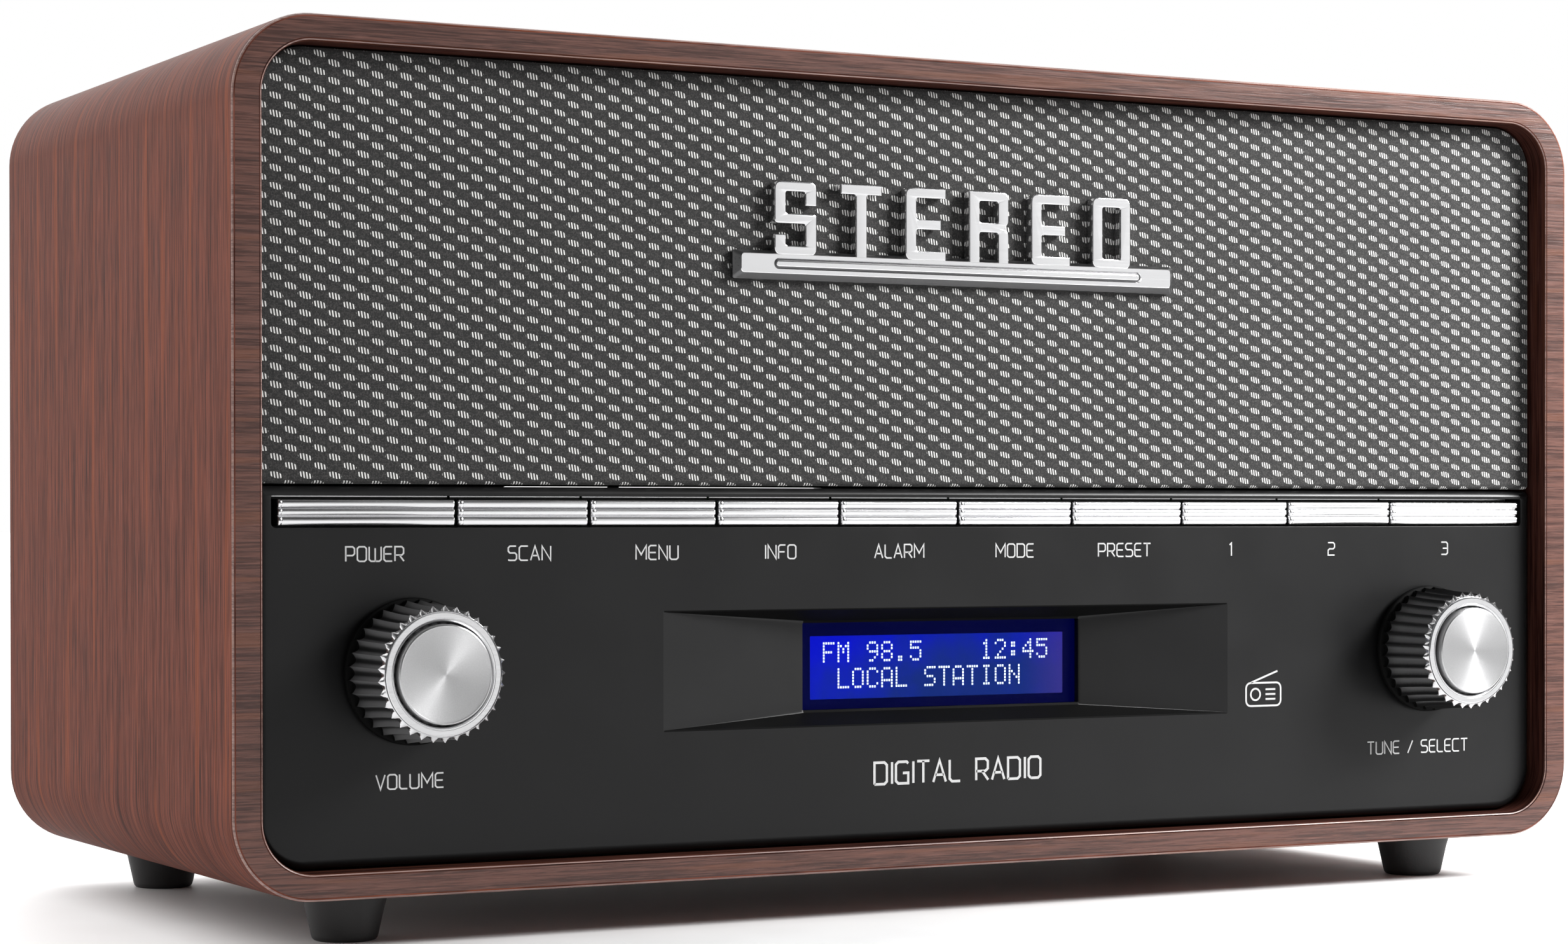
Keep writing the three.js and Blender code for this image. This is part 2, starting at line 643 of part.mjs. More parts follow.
// The display's own board, with chips under blobs on its back.
function displayBoard() {
  const front = GLASS_BACK + GAP;
  const halfWidth = DISPLAY_BOARD_WIDTH / 2;
  const halfHeight = DISPLAY_BOARD_HEIGHT / 2;
  const board = block(-halfWidth, halfWidth, front, front + BOARD_THICKNESS,
    DISPLAY_CENTRE - halfHeight, DISPLAY_CENTRE + halfHeight);
  const holes = [];
  for (const [, sideX, side] of CORNERS) {
    const x = sideX * (halfWidth - DISPLAY_HOLE_INSET);
    const z = DISPLAY_CENTRE + side * (halfHeight - DISPLAY_HOLE_INSET);
    holes.push(rodY(1.3, front - 1, front + 3, x, z, 12));
  }
  const chips = [-CHIP_X, CHIP_X].map((x) => rodY(CHIP_RADIUS, front + 1, front + 3, x, DISPLAY_CENTRE, 16));
  return carve([board, ...chips], holes);
}

// ---------- Speakers ----------

// Profiles are [radius, distance behind the baffle].
function speaker(name, parent, x) {
  const group = subGroup(parent, x, BAFFLE_BACK + GAP, SPEAKER_HEIGHT);
  const basket = turned([[33, 0], [SPEAKER_RADIUS, 0], [SPEAKER_RADIUS, 2.2], [34, 2.2], [32, 3.8],
    [29, 4.2], [21, 20], [9, 20], [9, 18.5], [20, 18.5], [27, 3.6], [26, 3.4], [26, 1.8], [33, 1.8],
    [33, 0]]);
  const cone = turned([[0, 9.5], [8.5, 12], [23, 2.2], [24, 0.4], [32.5, 0.4], [32.5, 1.5],
    [25, 1.5], [24.5, 3.6], [9, 15.5], [0, 15.8]]);
  const magnet = turned([[0, 36], [22, 36], [25, 35], [25, 22], [18, 20.4], [0, 20.4]]);
  piece(`speaker_${name}_basket`, basket, ZINC, group);
  piece(`speaker_${name}_cone`, cone, PAPER_CONE, group);
  piece(`speaker_${name}_magnet`, magnet, FERRITE, group);
}

// ---------- Electronics on the floor of the cabinet ----------

const MAIN_BOARD_TOP = MAIN_BOARD_Z + BOARD_THICKNESS;

// The amplifier board on four pillars: capacitors, a finned heatsink and the processor.
function mainBoard() {
  const half = MAIN_BOARD_WIDTH / 2;
  const root = MAIN_BOARD_Z + 1;
  const added = [block(-half, half, MAIN_BOARD_FRONT, MAIN_BOARD_BACK, MAIN_BOARD_Z, MAIN_BOARD_TOP)];
  for (const [, sideX, side] of CORNERS) {
    const x = sideX * (half - PILLAR_INSET);
    const y = side < 0 ? MAIN_BOARD_FRONT + PILLAR_INSET : MAIN_BOARD_BACK - PILLAR_INSET;
    added.push(rodZ(3, TOP_WALL + GAP, MAIN_BOARD_Z + 0.5, x, y, 10));
  }
  for (const x of [-60, -45, -30]) {
    added.push(rodZ(CAPACITOR_RADIUS, root, MAIN_BOARD_TOP + CAPACITOR_HEIGHT, x, CAPACITOR_Y, 12));
  }
  const finTop = MAIN_BOARD_TOP + HEATSINK_HEIGHT;
  added.push(block(HEATSINK_X, HEATSINK_X + HEATSINK_WIDTH, HEATSINK_Y, HEATSINK_Y + 3, root, finTop));
  for (let fin = 0; fin < 6; fin += 1) {
    const x = HEATSINK_X + 1 + fin * FIN_PITCH;
    added.push(block(x, x + 2, HEATSINK_Y + 2, HEATSINK_Y + FIN_LENGTH, root, finTop));
  }
  added.push(block(-40, -40 + PROCESSOR_SIZE, 75, 75 + PROCESSOR_SIZE, root, MAIN_BOARD_TOP + 2));
  return carve(added);
}

function tunerModule() {
  const base = MAIN_BOARD_TOP + GAP;
  return block(15, 15 + TUNER_WIDTH, 68, 68 + TUNER_DEPTH, base, base + TUNER_HEIGHT);
}

// A speaker's twin lead, from the terminals beside the magnet down to the main board.
function speakerLead(side) {
  const path = new THREE.CatmullRomCurve3([
    new THREE.Vector3(side * 68, 42, 112),
    new THREE.Vector3(side * 62, 46, 100),
    new THREE.Vector3(side * 60, 54, 70),
    new THREE.Vector3(side * 62, 62, 40),
    new THREE.Vector3(side * 62, 66, MAIN_BOARD_TOP + GAP + 0.1),
  ]);
  const section = new THREE.Shape();
  section.absarc(0, 0, LEAD_RADIUS, 0, Math.PI * 2);
  return new THREE.ExtrudeGeometry(section, { steps: 24, extrudePath: path, curveSegments: 4 });
}

// ---------- Rear panel and its fittings ----------

function rearPanel() {
  const front = REAR_FACE - REAR_THICKNESS;
  const added = [plate(roundedRect(FIT_WIDTH, FIT_BOTTOM, FIT_TOP, FIT_RADIUS), front, REAR_FACE)];
  const removed = [];
  for (const [, sideX, side] of CORNERS) {
    const [x, z] = rearScrewPlace(sideX, side);
    removed.push(rodY(SCREW_HOLE, front - 1, REAR_FACE + 1, x, z, 16));
  }
  for (let vent = 0; vent < VENT_COUNT; vent += 1) {
    const z = VENT_BOTTOM + vent * VENT_PITCH;
    removed.push(block(-VENT_LENGTH / 2, VENT_LENGTH / 2, front - 1, REAR_FACE + 1, z, z + VENT_HEIGHT));
  }
  removed.push(rodY(DC_HOLE_RADIUS, front - 1, REAR_FACE + 1, DC_X, SOCKET_HEIGHT));
  for (const side of [-1, 1]) {
    const x = JACKS_X + side * JACK_SPACING / 2;
    removed.push(rodY(JACK_HOLE_RADIUS, front - 1, REAR_FACE + 1, x, SOCKET_HEIGHT));
  }
  removed.push(rodY(AERIAL_HOLE_RADIUS, front - 1, REAR_FACE + 1, AERIAL_X, AERIAL_Z));
  return carve(added, removed);
}

// A barrel socket with its centre pin and a collar outside the panel.
function dcSocket() {
  const collar = REAR_FACE + 1.8;
  const pin = REAR_FACE + 1;
  const seat = REAR_FACE + GAP;
  const barrel = DC_HOLE_RADIUS - 0.4;
  return turned([[0, pin], [1, pin], [1, DC_PIN_FRONT], [3.2, DC_PIN_FRONT], [3.2, collar],
    [DC_COLLAR_RADIUS, collar], [DC_COLLAR_RADIUS, seat], [barrel, seat], [barrel, DC_FRONT],
    [0, DC_FRONT]]);
}

// Two jack sockets in one body behind the panel.
function audioJacks() {
  const front = REAR_FACE - REAR_THICKNESS - GAP;
  const nose = REAR_FACE + 1;
  const half = JACK_SPACING / 2;
  const added = [block(-half - 7, half + 7, front - JACK_BODY_DEPTH, front, -6, 6)];
  const removed = [];
  for (const side of [-1, 1]) {
    added.push(rodY(JACK_NOSE_RADIUS, front - 1, nose, side * half, 0));
    removed.push(rodY(JACK_BORE, nose - 15, nose + 1, side * half, 0, 16));
  }
  return carve(added, removed);
}

// Profile is [radius, distance outside the panel].
function rearScrew() {
  return turned([[0, 2.2], [2, 2], [3.6, 1], [3.6, GAP], [1.5, GAP], [1.5, -13], [0, -15]], 12);
}

// ---------- Aerial ----------

const MOUNT_FRONT = GAP;
const MOUNT_BACK = 3.4;
const KNUCKLE_FRONT = MOUNT_BACK + GAP;
const KNUCKLE_BACK = 5.2;
const KNUCKLE_RADIUS = 6;
const COLLAR_RADIUS = 8;
const STUD_RADIUS = 3;
const HINGE_RADIUS = 3.4;
const PIN_RADIUS = 1.2;
const EAR_INNER = 1.9;
const EAR_OUTER = 3.8;
const SLEEVE_RADIUS = 3.5;
const SLEEVE_BORE = 2.9;
const MIDDLE_RADIUS = 2.55;
const MIDDLE_BORE = 1.9;
const TIP_RADIUS = 1.5;
const SLEEVE_END = -SLEEVE_LENGTH;
const SLEEVE_START = -8;

function aerialMount() {
  const collar = rodY(COLLAR_RADIUS, MOUNT_FRONT, MOUNT_BACK, 0, 0, 32);
  const stud = rodY(STUD_RADIUS, -REAR_THICKNESS - 4, MOUNT_FRONT + 1);
  return carve([collar, stud]);
}

// The swivelling knuckle: a disc with two ears and the hinge pin between them.
function aerialKnuckle() {
  const disc = rodY(KNUCKLE_RADIUS, KNUCKLE_FRONT, KNUCKLE_BACK, 0, 0, 32);
  const added = [disc];
  for (const side of [-1, 1]) {
    const [low, high] = side < 0 ? [-EAR_OUTER, -EAR_INNER] : [EAR_INNER, EAR_OUTER];
    added.push(block(-HINGE_RADIUS, HINGE_RADIUS, KNUCKLE_BACK - 0.2, AERIAL_ROD_Y, low, high));
    added.push(rodZ(HINGE_RADIUS, low, high, 0, AERIAL_ROD_Y));
  }
  added.push(rodZ(PIN_RADIUS, -EAR_INNER - 0.5, EAR_INNER + 0.5, 0, AERIAL_ROD_Y, 16));
  return carve(added);
}

// The outer tube, with a flat tongue at the hinge end.
function aerialSleeve() {
  const tongue = EAR_INNER - GAP;
  const round = HINGE_RADIUS - 0.4;
  const added = [
    rodX(SLEEVE_RADIUS, SLEEVE_END, SLEEVE_START, AERIAL_ROD_Y),
    block(SLEEVE_START - 1, 0, AERIAL_ROD_Y - round, AERIAL_ROD_Y + round, -tongue, tongue),
    rodZ(round, -tongue, tongue, 0, AERIAL_ROD_Y),
  ];
  const removed = [
    rodX(SLEEVE_BORE, SLEEVE_END - 1, SLEEVE_START - 4, AERIAL_ROD_Y),
    rodZ(PIN_RADIUS + GAP, -3, 3, 0, AERIAL_ROD_Y, 16),
  ];
  return carve(added, removed);
}

function aerialMiddle() {
  const end = SLEEVE_END - 2;
  return carve([rodX(MIDDLE_RADIUS, end, SLEEVE_START - 5, AERIAL_ROD_Y)],
    [rodX(MIDDLE_BORE, end - 1, SLEEVE_START - 8, AERIAL_ROD_Y)]);
}

function aerialTip() {
  const end = SLEEVE_END - 3;
  return carve([
    rodX(TIP_RADIUS, end - 1, SLEEVE_START - 10, AERIAL_ROD_Y, 0, 16),
    rodX(SLEEVE_RADIUS, end - 6, end, AERIAL_ROD_Y),
  ]);
}

// ---------- Feet ----------

const FOOT_RECESS = 4;

function foot() {
  const base = -FOOT_HEIGHT;
  const top = -GAP;
  const seat = base + FOOT_RECESS;
  const shell = turned([[SCREW_HOLE, top], [SCREW_HOLE, seat], [FOOT_BORE, seat], [FOOT_BORE, base],
    [FOOT_BOTTOM_RADIUS, base], [FOOT_TOP_RADIUS, top], [SCREW_HOLE, top]]);
  return shell.rotateX(Math.PI / 2);
}

function footScrew() {
  const head = -FOOT_HEIGHT + FOOT_RECESS - GAP;
  const screw = turned([[0, head - 2.4], [2.4, head - 2.2], [3, head - 1.2], [3, head], [1.5, head],
    [1.5, 10], [0, 11.5]], 12);
  return screw.rotateX(Math.PI / 2);
}

// ---------- Assembly ----------

const radio = new THREE.Group();
const cabinet = subGroup(radio, 0, FRONT_EDGE, FOOT_HEIGHT);

piece("cabinet_shell", cabinetShell(), WALNUT, cabinet);
piece("front_baffle", frontBaffle(), BOARD_WOOD, cabinet);
piece("grille_frame", grilleFrame(), BLACK_PLASTIC, cabinet);
piece("grille_cloth", grilleCloth(), CHARCOAL_CLOTH, cabinet);
piece("badge", badge(), CHROME, cabinet);
piece("control_panel", controlPanel(), BLACK_PLASTIC, cabinet);

KEY_NAMES.forEach((name, i) => {
  const [left, right] = keySpan(i);
  piece(`key_${name}`, key(left, right), CHROME, cabinet);
});

knob("volume", cabinet, -KNOB_SPACING / 2);
const tuneKnob = knob("tune", cabinet, KNOB_SPACING / 2);
piece("tune_plunger", tunePlunger(), ZINC, tuneKnob);

piece("control_board", controlBoard(), CIRCUIT_GREEN, cabinet);
piece("display_window", displayWindow(), CLEAR_ACRYLIC, cabinet);
piece("display_glass", displayGlass(), DISPLAY_BLUE, cabinet);
piece("display_board", displayBoard(), CIRCUIT_GREEN, cabinet);

speaker("left", cabinet, -SPEAKER_SPACING / 2);
speaker("right", cabinet, SPEAKER_SPACING / 2);
piece("speaker_left_lead", speakerLead(-1), BLACK_RUBBER, cabinet);
piece("speaker_right_lead", speakerLead(1), BLACK_RUBBER, cabinet);

piece("main_board", mainBoard(), CIRCUIT_GREEN, cabinet);
piece("tuner_module", tunerModule(), ZINC, cabinet);

piece("rear_panel", rearPanel(), BLACK_PLASTIC, cabinet);
piece("dc_socket", dcSocket(), BLACK_PLASTIC, cabinet, DC_X, 0, SOCKET_HEIGHT);
piece("audio_jacks", audioJacks(), BLACK_PLASTIC, cabinet, JACKS_X, 0, SOCKET_HEIGHT);
for (const [, sideX, side] of CORNERS) {
  const [x, z] = rearScrewPlace(sideX, side);
  const height = side < 0 ? "lower" : "upper";
  const hand = sideX < 0 ? "left" : "right";
  piece(`rear_screw_${height}_${hand}`, rearScrew(), ZINC, cabinet, x, REAR_FACE, z);
}

const aerial = subGroup(cabinet, AERIAL_X, REAR_FACE, AERIAL_Z);
piece("aerial_mount", aerialMount(), BLACK_PLASTIC, aerial);
piece("aerial_knuckle", aerialKnuckle(), CHROME, aerial);
piece("aerial_sleeve", aerialSleeve(), CHROME, aerial);
piece("aerial_middle", aerialMiddle(), CHROME, aerial);
piece("aerial_tip", aerialTip(), CHROME, aerial);

for (const [name, sideX, sideY] of CORNERS) {
  const [x, y] = footPlace(sideX, sideY);
  piece(`foot_${name}`, foot(), BLACK_RUBBER, cabinet, x, y, 0);
  piece(`foot_screw_${name}`, footScrew(), ZINC, cabinet, x, y, 0);
}

export default radio;
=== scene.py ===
"""Tabletop stereo radio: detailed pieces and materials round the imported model.

Pieces are drawn in the cabinet's own frame, in millimetres: X from its middle, Y back from its
front edge and Z up from its underside. Form.build() turns them into the row frame, in metres.
"""

import math

import bmesh
import bpy
from mathutils import Euler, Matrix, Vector
from mathutils.geometry import tessellate_polygon


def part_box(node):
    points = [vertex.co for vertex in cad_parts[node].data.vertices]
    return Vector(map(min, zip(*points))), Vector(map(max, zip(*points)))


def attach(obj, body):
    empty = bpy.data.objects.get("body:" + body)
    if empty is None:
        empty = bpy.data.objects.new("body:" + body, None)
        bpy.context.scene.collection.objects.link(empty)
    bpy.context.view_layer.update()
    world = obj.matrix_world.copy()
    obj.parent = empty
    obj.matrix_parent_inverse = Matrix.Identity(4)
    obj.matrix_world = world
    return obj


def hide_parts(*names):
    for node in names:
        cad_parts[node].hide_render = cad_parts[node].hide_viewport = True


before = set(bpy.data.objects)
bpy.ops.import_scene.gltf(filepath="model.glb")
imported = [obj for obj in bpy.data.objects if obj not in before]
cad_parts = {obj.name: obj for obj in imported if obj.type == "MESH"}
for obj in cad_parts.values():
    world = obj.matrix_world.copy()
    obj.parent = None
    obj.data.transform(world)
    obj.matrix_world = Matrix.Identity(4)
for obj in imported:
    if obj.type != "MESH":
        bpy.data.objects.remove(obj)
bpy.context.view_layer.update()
scene = bpy.context.scene

# ---------- Sizes ----------

MM = 0.001
SHELL_LOW, SHELL_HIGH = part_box("cabinet_shell")


def box_mm(node):
    """A CAD node's lowest and highest corners in the cabinet's frame, in millimetres."""
    origin = Vector((0, SHELL_LOW.y, SHELL_LOW.z))
    return [(corner - origin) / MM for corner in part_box(node)]


WIDTH, DEPTH, HEIGHT = (SHELL_HIGH - SHELL_LOW) / MM
SIDE_WALL = 6.3
TOP_WALL = 5.4
OUTER_RADIUS = 16.5
INNER_RADIUS = 10.5
INNER_WIDTH = WIDTH - 2 * SIDE_WALL
INNER_TOP = HEIGHT - TOP_WALL

PANEL_LOW, PANEL_HIGH = box_mm("control_panel")
FIT_WIDTH = PANEL_HIGH.x - PANEL_LOW.x
FIT_RADIUS = 10.1
PANEL_FACE = PANEL_LOW.y
PANEL_BACK = PANEL_FACE + 4
PANEL_ROLL = 1.8

CLOTH_LOW, CLOTH_HIGH = box_mm("grille_cloth")
CLOTH_ROLL = 1.0

SLOT_LENGTH = 310.8
SLOT_LOW, SLOT_HIGH = 72.5, 79.1
KEY_LOW, KEY_HIGH = 72.8, 78.1
KEY_FRONT = 4.4
KEY_FLANGE = 9.1
FLANGE_OVERLAP = 1.9

SCOOP_WIDTH = 141.4
SCOOP_LOW, SCOOP_HIGH = 30.6, 55.1
WINDOW_WIDTH = 69.6
WINDOW_LOW, WINDOW_HIGH = 33.6, 52.1
WINDOW_FACE = 11.0

KNOB_X = 126.5
KNOB_Z = 44.1
KNOB_REAR, KNOB_FRONT = 3.7, -11.0
FLUTES = 33
FLUTE_DEPTH = 1.1

# ---------- Mesh helpers ----------


class Form:
    """Points in the cabinet's frame, and faces with the number of the material each one has."""

    def __init__(self):
        self.points = []
        self.faces = []
        self.finishes = []

    def ring(self, points):
        first = len(self.points)
        self.points.extend(points)
        return list(range(first, len(self.points)))

    def face(self, corners, finish=0):
        self.faces.append(tuple(corners))
        self.finishes.append(finish)

    def bridge(self, a, b, finish=0):
        for i in range(len(a)):
            j = (i + 1) % len(a)
            self.face((a[i], a[j], b[j], b[i]), finish)

    def fill(self, outer, holes=(), finish=0):
        """A flat face inside one ring and outside the others."""
        loops = [outer, *holes]
        flat = [i for loop in loops for i in loop]
        for corners in tessellate_polygon([[Vector(self.points[i]) for i in loop] for loop in loops]):
            self.face([flat[k] for k in corners], finish)

    def skin(self, sections, finish=0, ends=True, loop=False):
        """Rings of points joined one to the next. finish is one number or one for each join."""
        rings = [self.ring(section) for section in sections]
        joins = list(zip(rings, rings[1:]))
        if loop:
            joins.append((rings[-1], rings[0]))
        finishes = finish if isinstance(finish, (list, tuple)) else [finish] * len(joins)
        for (a, b), number in zip(joins, finishes):
            self.bridge(a, b, number)
        if ends and not loop:
            self.fill(rings[0], finish=finishes[0])
            self.fill(rings[-1], finish=finishes[-1])
        return rings

    def build(self, name, materials, body="root", stands_for=(), crease=35):
        mesh = bpy.data.meshes.new(name)
        place = [(x * MM, SHELL_LOW.y + y * MM, SHELL_LOW.z + z * MM) for x, y, z in self.points]
        mesh.from_pydata(place, [], self.faces)
        for material in materials if isinstance(materials, (list, tuple)) else [materials]:
            mesh.materials.append(material)
        mesh.polygons.foreach_set("material_index", self.finishes)
        work = bmesh.new()
        work.from_mesh(mesh)
        bmesh.ops.remove_doubles(work, verts=work.verts, dist=1e-7)
        bmesh.ops.recalc_face_normals(work, faces=work.faces)
        work.to_mesh(mesh)
        work.free()
        mesh.shade_smooth()
        mesh.set_sharp_from_angle(angle=math.radians(crease))
        obj = bpy.data.objects.new(name, mesh)
        scene.collection.objects.link(obj)
        normals = obj.modifiers.new("normals", "WEIGHTED_NORMAL")
        normals.keep_sharp = True
        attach(obj, body)
        if stands_for:
            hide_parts(*([stands_for] if isinstance(stands_for, str) else stands_for))
        return obj


def arc(steps):
    """(inset, setback) along a quarter round of radius 1, from the face to the side."""
    turns = [math.pi / 2 * i / steps for i in range(steps + 1)]
    return [(1 - math.sin(a), 1 - math.cos(a)) for a in turns]


def rounded(width, low, high, low_radius, high_radius=None, inset=0.0, steps=10, centre=0.0):
    """Points (x, z) of a rounded rectangle, anticlockwise from its lower right corner."""
    half = width / 2 - inset
    low, high = low + inset, high - inset
    lower = max(low_radius - inset, 0.02)
    upper = max((low_radius if high_radius is None else high_radius) - inset, 0.02)
    corners = (
        (half - lower, low + lower, lower, -90),
        (half - upper, high - upper, upper, 0),
        (upper - half, high - upper, upper, 90),
        (lower - half, low + lower, lower, 180),
    )
    points = []
    for x, z, radius, start in corners:
        for i in range(steps + 1):
            a = math.radians(start + 90 * i / steps)
            points.append((centre + x + radius * math.cos(a), z + radius * math.sin(a)))
    return points


def circle(radius, x=0.0, z=0.0, steps=48):
    turns = [2 * math.pi * i / steps for i in range(steps)]
    return [(x + radius * math.cos(a), z + radius * math.sin(a)) for a in turns]


def at(outline, y):
    return [(x, y, z) for x, z in outline]


def front_rolled(outline, y, radius, back, steps=4):
    """Sections of a plate whose front edge is a quarter round. outline(inset) gives its points."""
    sections = [at(outline(radius * inset), y + radius * setback) for inset, setback in arc(steps)]
    return sections + [at(outline(0), back)]


def softened_block(form, low, high, edge, finish=0):
    """A block with a small chamfer round its front and back edges."""
    (x0, y0, z0), (x1, y1, z1) = low, high
    middle, width = (x0 + x1) / 2, x1 - x0
    outline = lambda inset: rounded(width, z0, z1, edge, inset=inset, steps=3, centre=middle)
    form.skin([at(outline(edge), y0), at(outline(0), y0 + edge), at(outline(0), y1 - edge), at(outline(edge), y1)], finish)


def turned(form, profile, axis="Y", centre=(0, 0, 0), steps=64, finish=0, loop=False):
    """(radius, position) points turned round an axis through centre."""
    cx, cy, cz = centre
    sections = []
    for radius, along in profile:
        ring = []
        for i in range(steps):
            a = 2 * math.pi * i / steps
            u, v = radius * math.cos(a), radius * math.sin(a)
            ring.append({"X": (cx + along, cy + u, cz + v), "Y": (cx + u, cy + along, cz + v),
                         "Z": (cx + u, cy + v, cz + along)}[axis])
        sections.append(ring)
    return form.skin(sections, finish, loop=loop)


def rounded_path(corners, steps=4):
    """A closed outline from (x, z, radius) corners, each with that radius."""
    points = []
    count = len(corners)
    for i, (x, z, radius) in enumerate(corners):
        here = Vector((x, z))
        if radius <= 0:
            points.append((x, z))
            continue
        before = (Vector(corners[i - 1][:2]) - here).normalized()
        after = (Vector(corners[(i + 1) % count][:2]) - here).normalized()
        start, end = here + before * radius, here + after * radius
        for k in range(steps + 1):
            t = k / steps
            point = start * (1 - t) ** 2 + here * 2 * t * (1 - t) + end * t ** 2
            points.append(tuple(point))
    return points


def ribbon(form, line, width, front, back, closed=False, finish=0):
    """A flat raised stroke along (x, z) points, with mitred corners."""
    count = len(line)
    left, right = [], []
    for i, (x, z) in enumerate(line):
        here = Vector((x, z))
        steps = []
        if closed or i > 0:
            steps.append((here - Vector(line[i - 1])).normalized())
        if closed or i < count - 1:
            steps.append((Vector(line[(i + 1) % count]) - here).normalized())
        normals = [Vector((-s.y, s.x)) for s in steps]
        mitre = sum(normals, Vector((0, 0))).normalized()
        offset = mitre * (width / 2) / max(mitre.dot(normals[0]), 0.4)
        left.append(here + offset)
        right.append(here - offset)
    sections = [[(l.x, front, l.y), (r.x, front, r.y), (r.x, back, r.y), (l.x, back, l.y)]
                for l, r in zip(left, right)]
    form.skin(sections, finish, ends=not closed, loop=closed)


# ---------- Material helpers ----------


class Paint:
    """A principled material with procedural nodes on object coordinates in millimetres."""

    def __init__(self, name, color, roughness, metallic=0.0, **sockets):
        self.material = bpy.data.materials.new(name)
        self.material.use_nodes = True
        self.tree = self.material.node_tree
        self.shader = self.tree.nodes["Principled BSDF"]
        self.set("Base Color", (*color, 1))
        self.set("Roughness", roughness)
        self.set("Metallic", metallic)
        for key, value in sockets.items():
            self.set(key.replace("_", " "), value)
        self.coordinates = self.tree.nodes.new("ShaderNodeTexCoord").outputs["Object"]

    def set(self, socket, value):
        self.shader.inputs[socket].default_value = value

    def link(self, output, socket):
        self.tree.links.new(output, self.shader.inputs[socket])

    def node(self, kind, inputs=(), **settings):
        node = self.tree.nodes.new(kind)
        for key, value in settings.items():
            setattr(node, key, value)
        for socket, value in dict(inputs).items():
            if isinstance(value, bpy.types.NodeSocket):
                self.tree.links.new(value, node.inputs[socket])
            else:
                node.inputs[socket].default_value = value
        return node

    def scaled(self, x, y=None, z=None):
        """Coordinates where one unit is x, y and z millimetres."""
        y, z = (x if y is None else y), (x if z is None else z)
        factors = (1 / (x * MM), 1 / (y * MM), 1 / (z * MM))
        return self.node("ShaderNodeVectorMath", {0: self.coordinates, 1: factors}, operation="MULTIPLY").outputs[0]

    def noise(self, size, detail=2.0, roughness=0.5):
        """Noise whose features are about size millimetres across, one number or one for each axis."""
        vector = self.scaled(*size) if isinstance(size, tuple) else self.scaled(size)
        inputs = {"Vector": vector, "Scale": 1.0, "Detail": detail, "Roughness": roughness}
        return self.node("ShaderNodeTexNoise", inputs).outputs["Fac"]

    def math(self, operation, a, b=0.0, c=0.0):
        return self.node("ShaderNodeMath", {0: a, 1: b, 2: c}, operation=operation).outputs[0]

    def remap(self, value, low, high, to_low=0.0, to_high=1.0):
        inputs = {"Value": value, "From Min": low, "From Max": high, "To Min": to_low, "To Max": to_high}
        return self.node("ShaderNodeMapRange", inputs, interpolation_type="SMOOTHSTEP").outputs[0]

    def blend(self, factor, a, b):
        colors = [(*c, 1) if isinstance(c, tuple) else c for c in (a, b)]
        inputs = {"Factor": factor, 6: colors[0], 7: colors[1]}
        return self.node("ShaderNodeMix", inputs, data_type="RGBA").outputs[2]

    def bump(self, height, distance, strength=1.0):
        """distance is the height of the relief, in millimetres."""
        inputs = {"Height": height, "Distance": distance * MM, "Strength": strength}
        self.link(self.node("ShaderNodeBump", inputs).outputs[0], "Normal")


def grained(name, color, roughness, grain=0.25, relief=0.01, variation=0.15, metallic=0.0, **sockets):
    """Moulded plastic, rubber, board or cast metal: a fine grain and slight changes of tone."""
    paint = Paint(name, color, roughness, metallic, **sockets)
    tone = paint.noise(18.0, 3.0)
    low = tuple(c * (1 - variation) for c in color)
    high = tuple(min(1.0, c * (1 + variation)) for c in color)
    paint.link(paint.blend(tone, low, high), "Base Color")
    fine = paint.noise(grain, 2.0)
    paint.link(paint.remap(tone, 0.3, 0.7, roughness * 0.93, roughness * 1.07), "Roughness")
    paint.bump(fine, relief)
    return paint.material


def brushed(name, color, roughness, along="X", line=0.12, relief=0.004, **sockets):
    """Plated or brushed metal with fine lines along one axis."""
    paint = Paint(name, color, roughness, 1.0, **sockets)
    size = tuple(30.0 if axis == along else line for axis in "XYZ")
    lines = paint.noise(size, 2.0)
    paint.link(paint.remap(lines, 0.25, 0.75, roughness * 0.75, roughness * 1.25), "Roughness")
    paint.bump(lines, relief)
    return paint.material


def veneer(name, across, dark, light, orange, roughness=0.5, gloss=0.015):
    """Fine straight-grained walnut. across is the size of one unit of each axis, in millimetres."""
    paint = Paint(name, light, roughness, Specular_IOR_Level=gloss)
    streaks = paint.noise(tuple(0.36 if s < 1 else s * 0.45 for s in across), 3.0, 0.65)
    hairs = paint.noise(tuple(0.2 if s < 1 else s * 0.2 for s in across), 1.0)
    bands = paint.noise(tuple(1.5 if s < 1 else s * 1.2 for s in across), 2.0)
    broad = paint.noise(tuple(2.6 if s < 1 else s * 2 for s in across), 2.0)
    tone = paint.math("ADD", paint.math("MULTIPLY", streaks, 0.72), paint.math("MULTIPLY", bands, 0.28))
    color = paint.blend(paint.remap(tone, 0.38, 0.62), dark, light)
    color = paint.blend(paint.remap(broad, 0.57, 0.68, 0.0, 0.6), color, orange)
    greyed = tuple(0.55 * c + 0.008 for c in dark)
    color = paint.blend(paint.remap(hairs, 0.60, 0.74, 0.0, 0.55), color, greyed)
    pale = tuple(min(1.0, c * 1.5 + 0.012) for c in light)
    color = paint.blend(paint.remap(hairs, 0.40, 0.28, 0.0, 0.45), color, pale)
    paint.link(color, "Base Color")
    paint.link(paint.remap(streaks, 0.3, 0.7, roughness * 0.85, roughness * 1.15), "Roughness")
    paint.bump(paint.math("SUBTRACT", streaks, paint.math("MULTIPLY", hairs, 0.5)), 0.05, 0.6)
    return paint.material


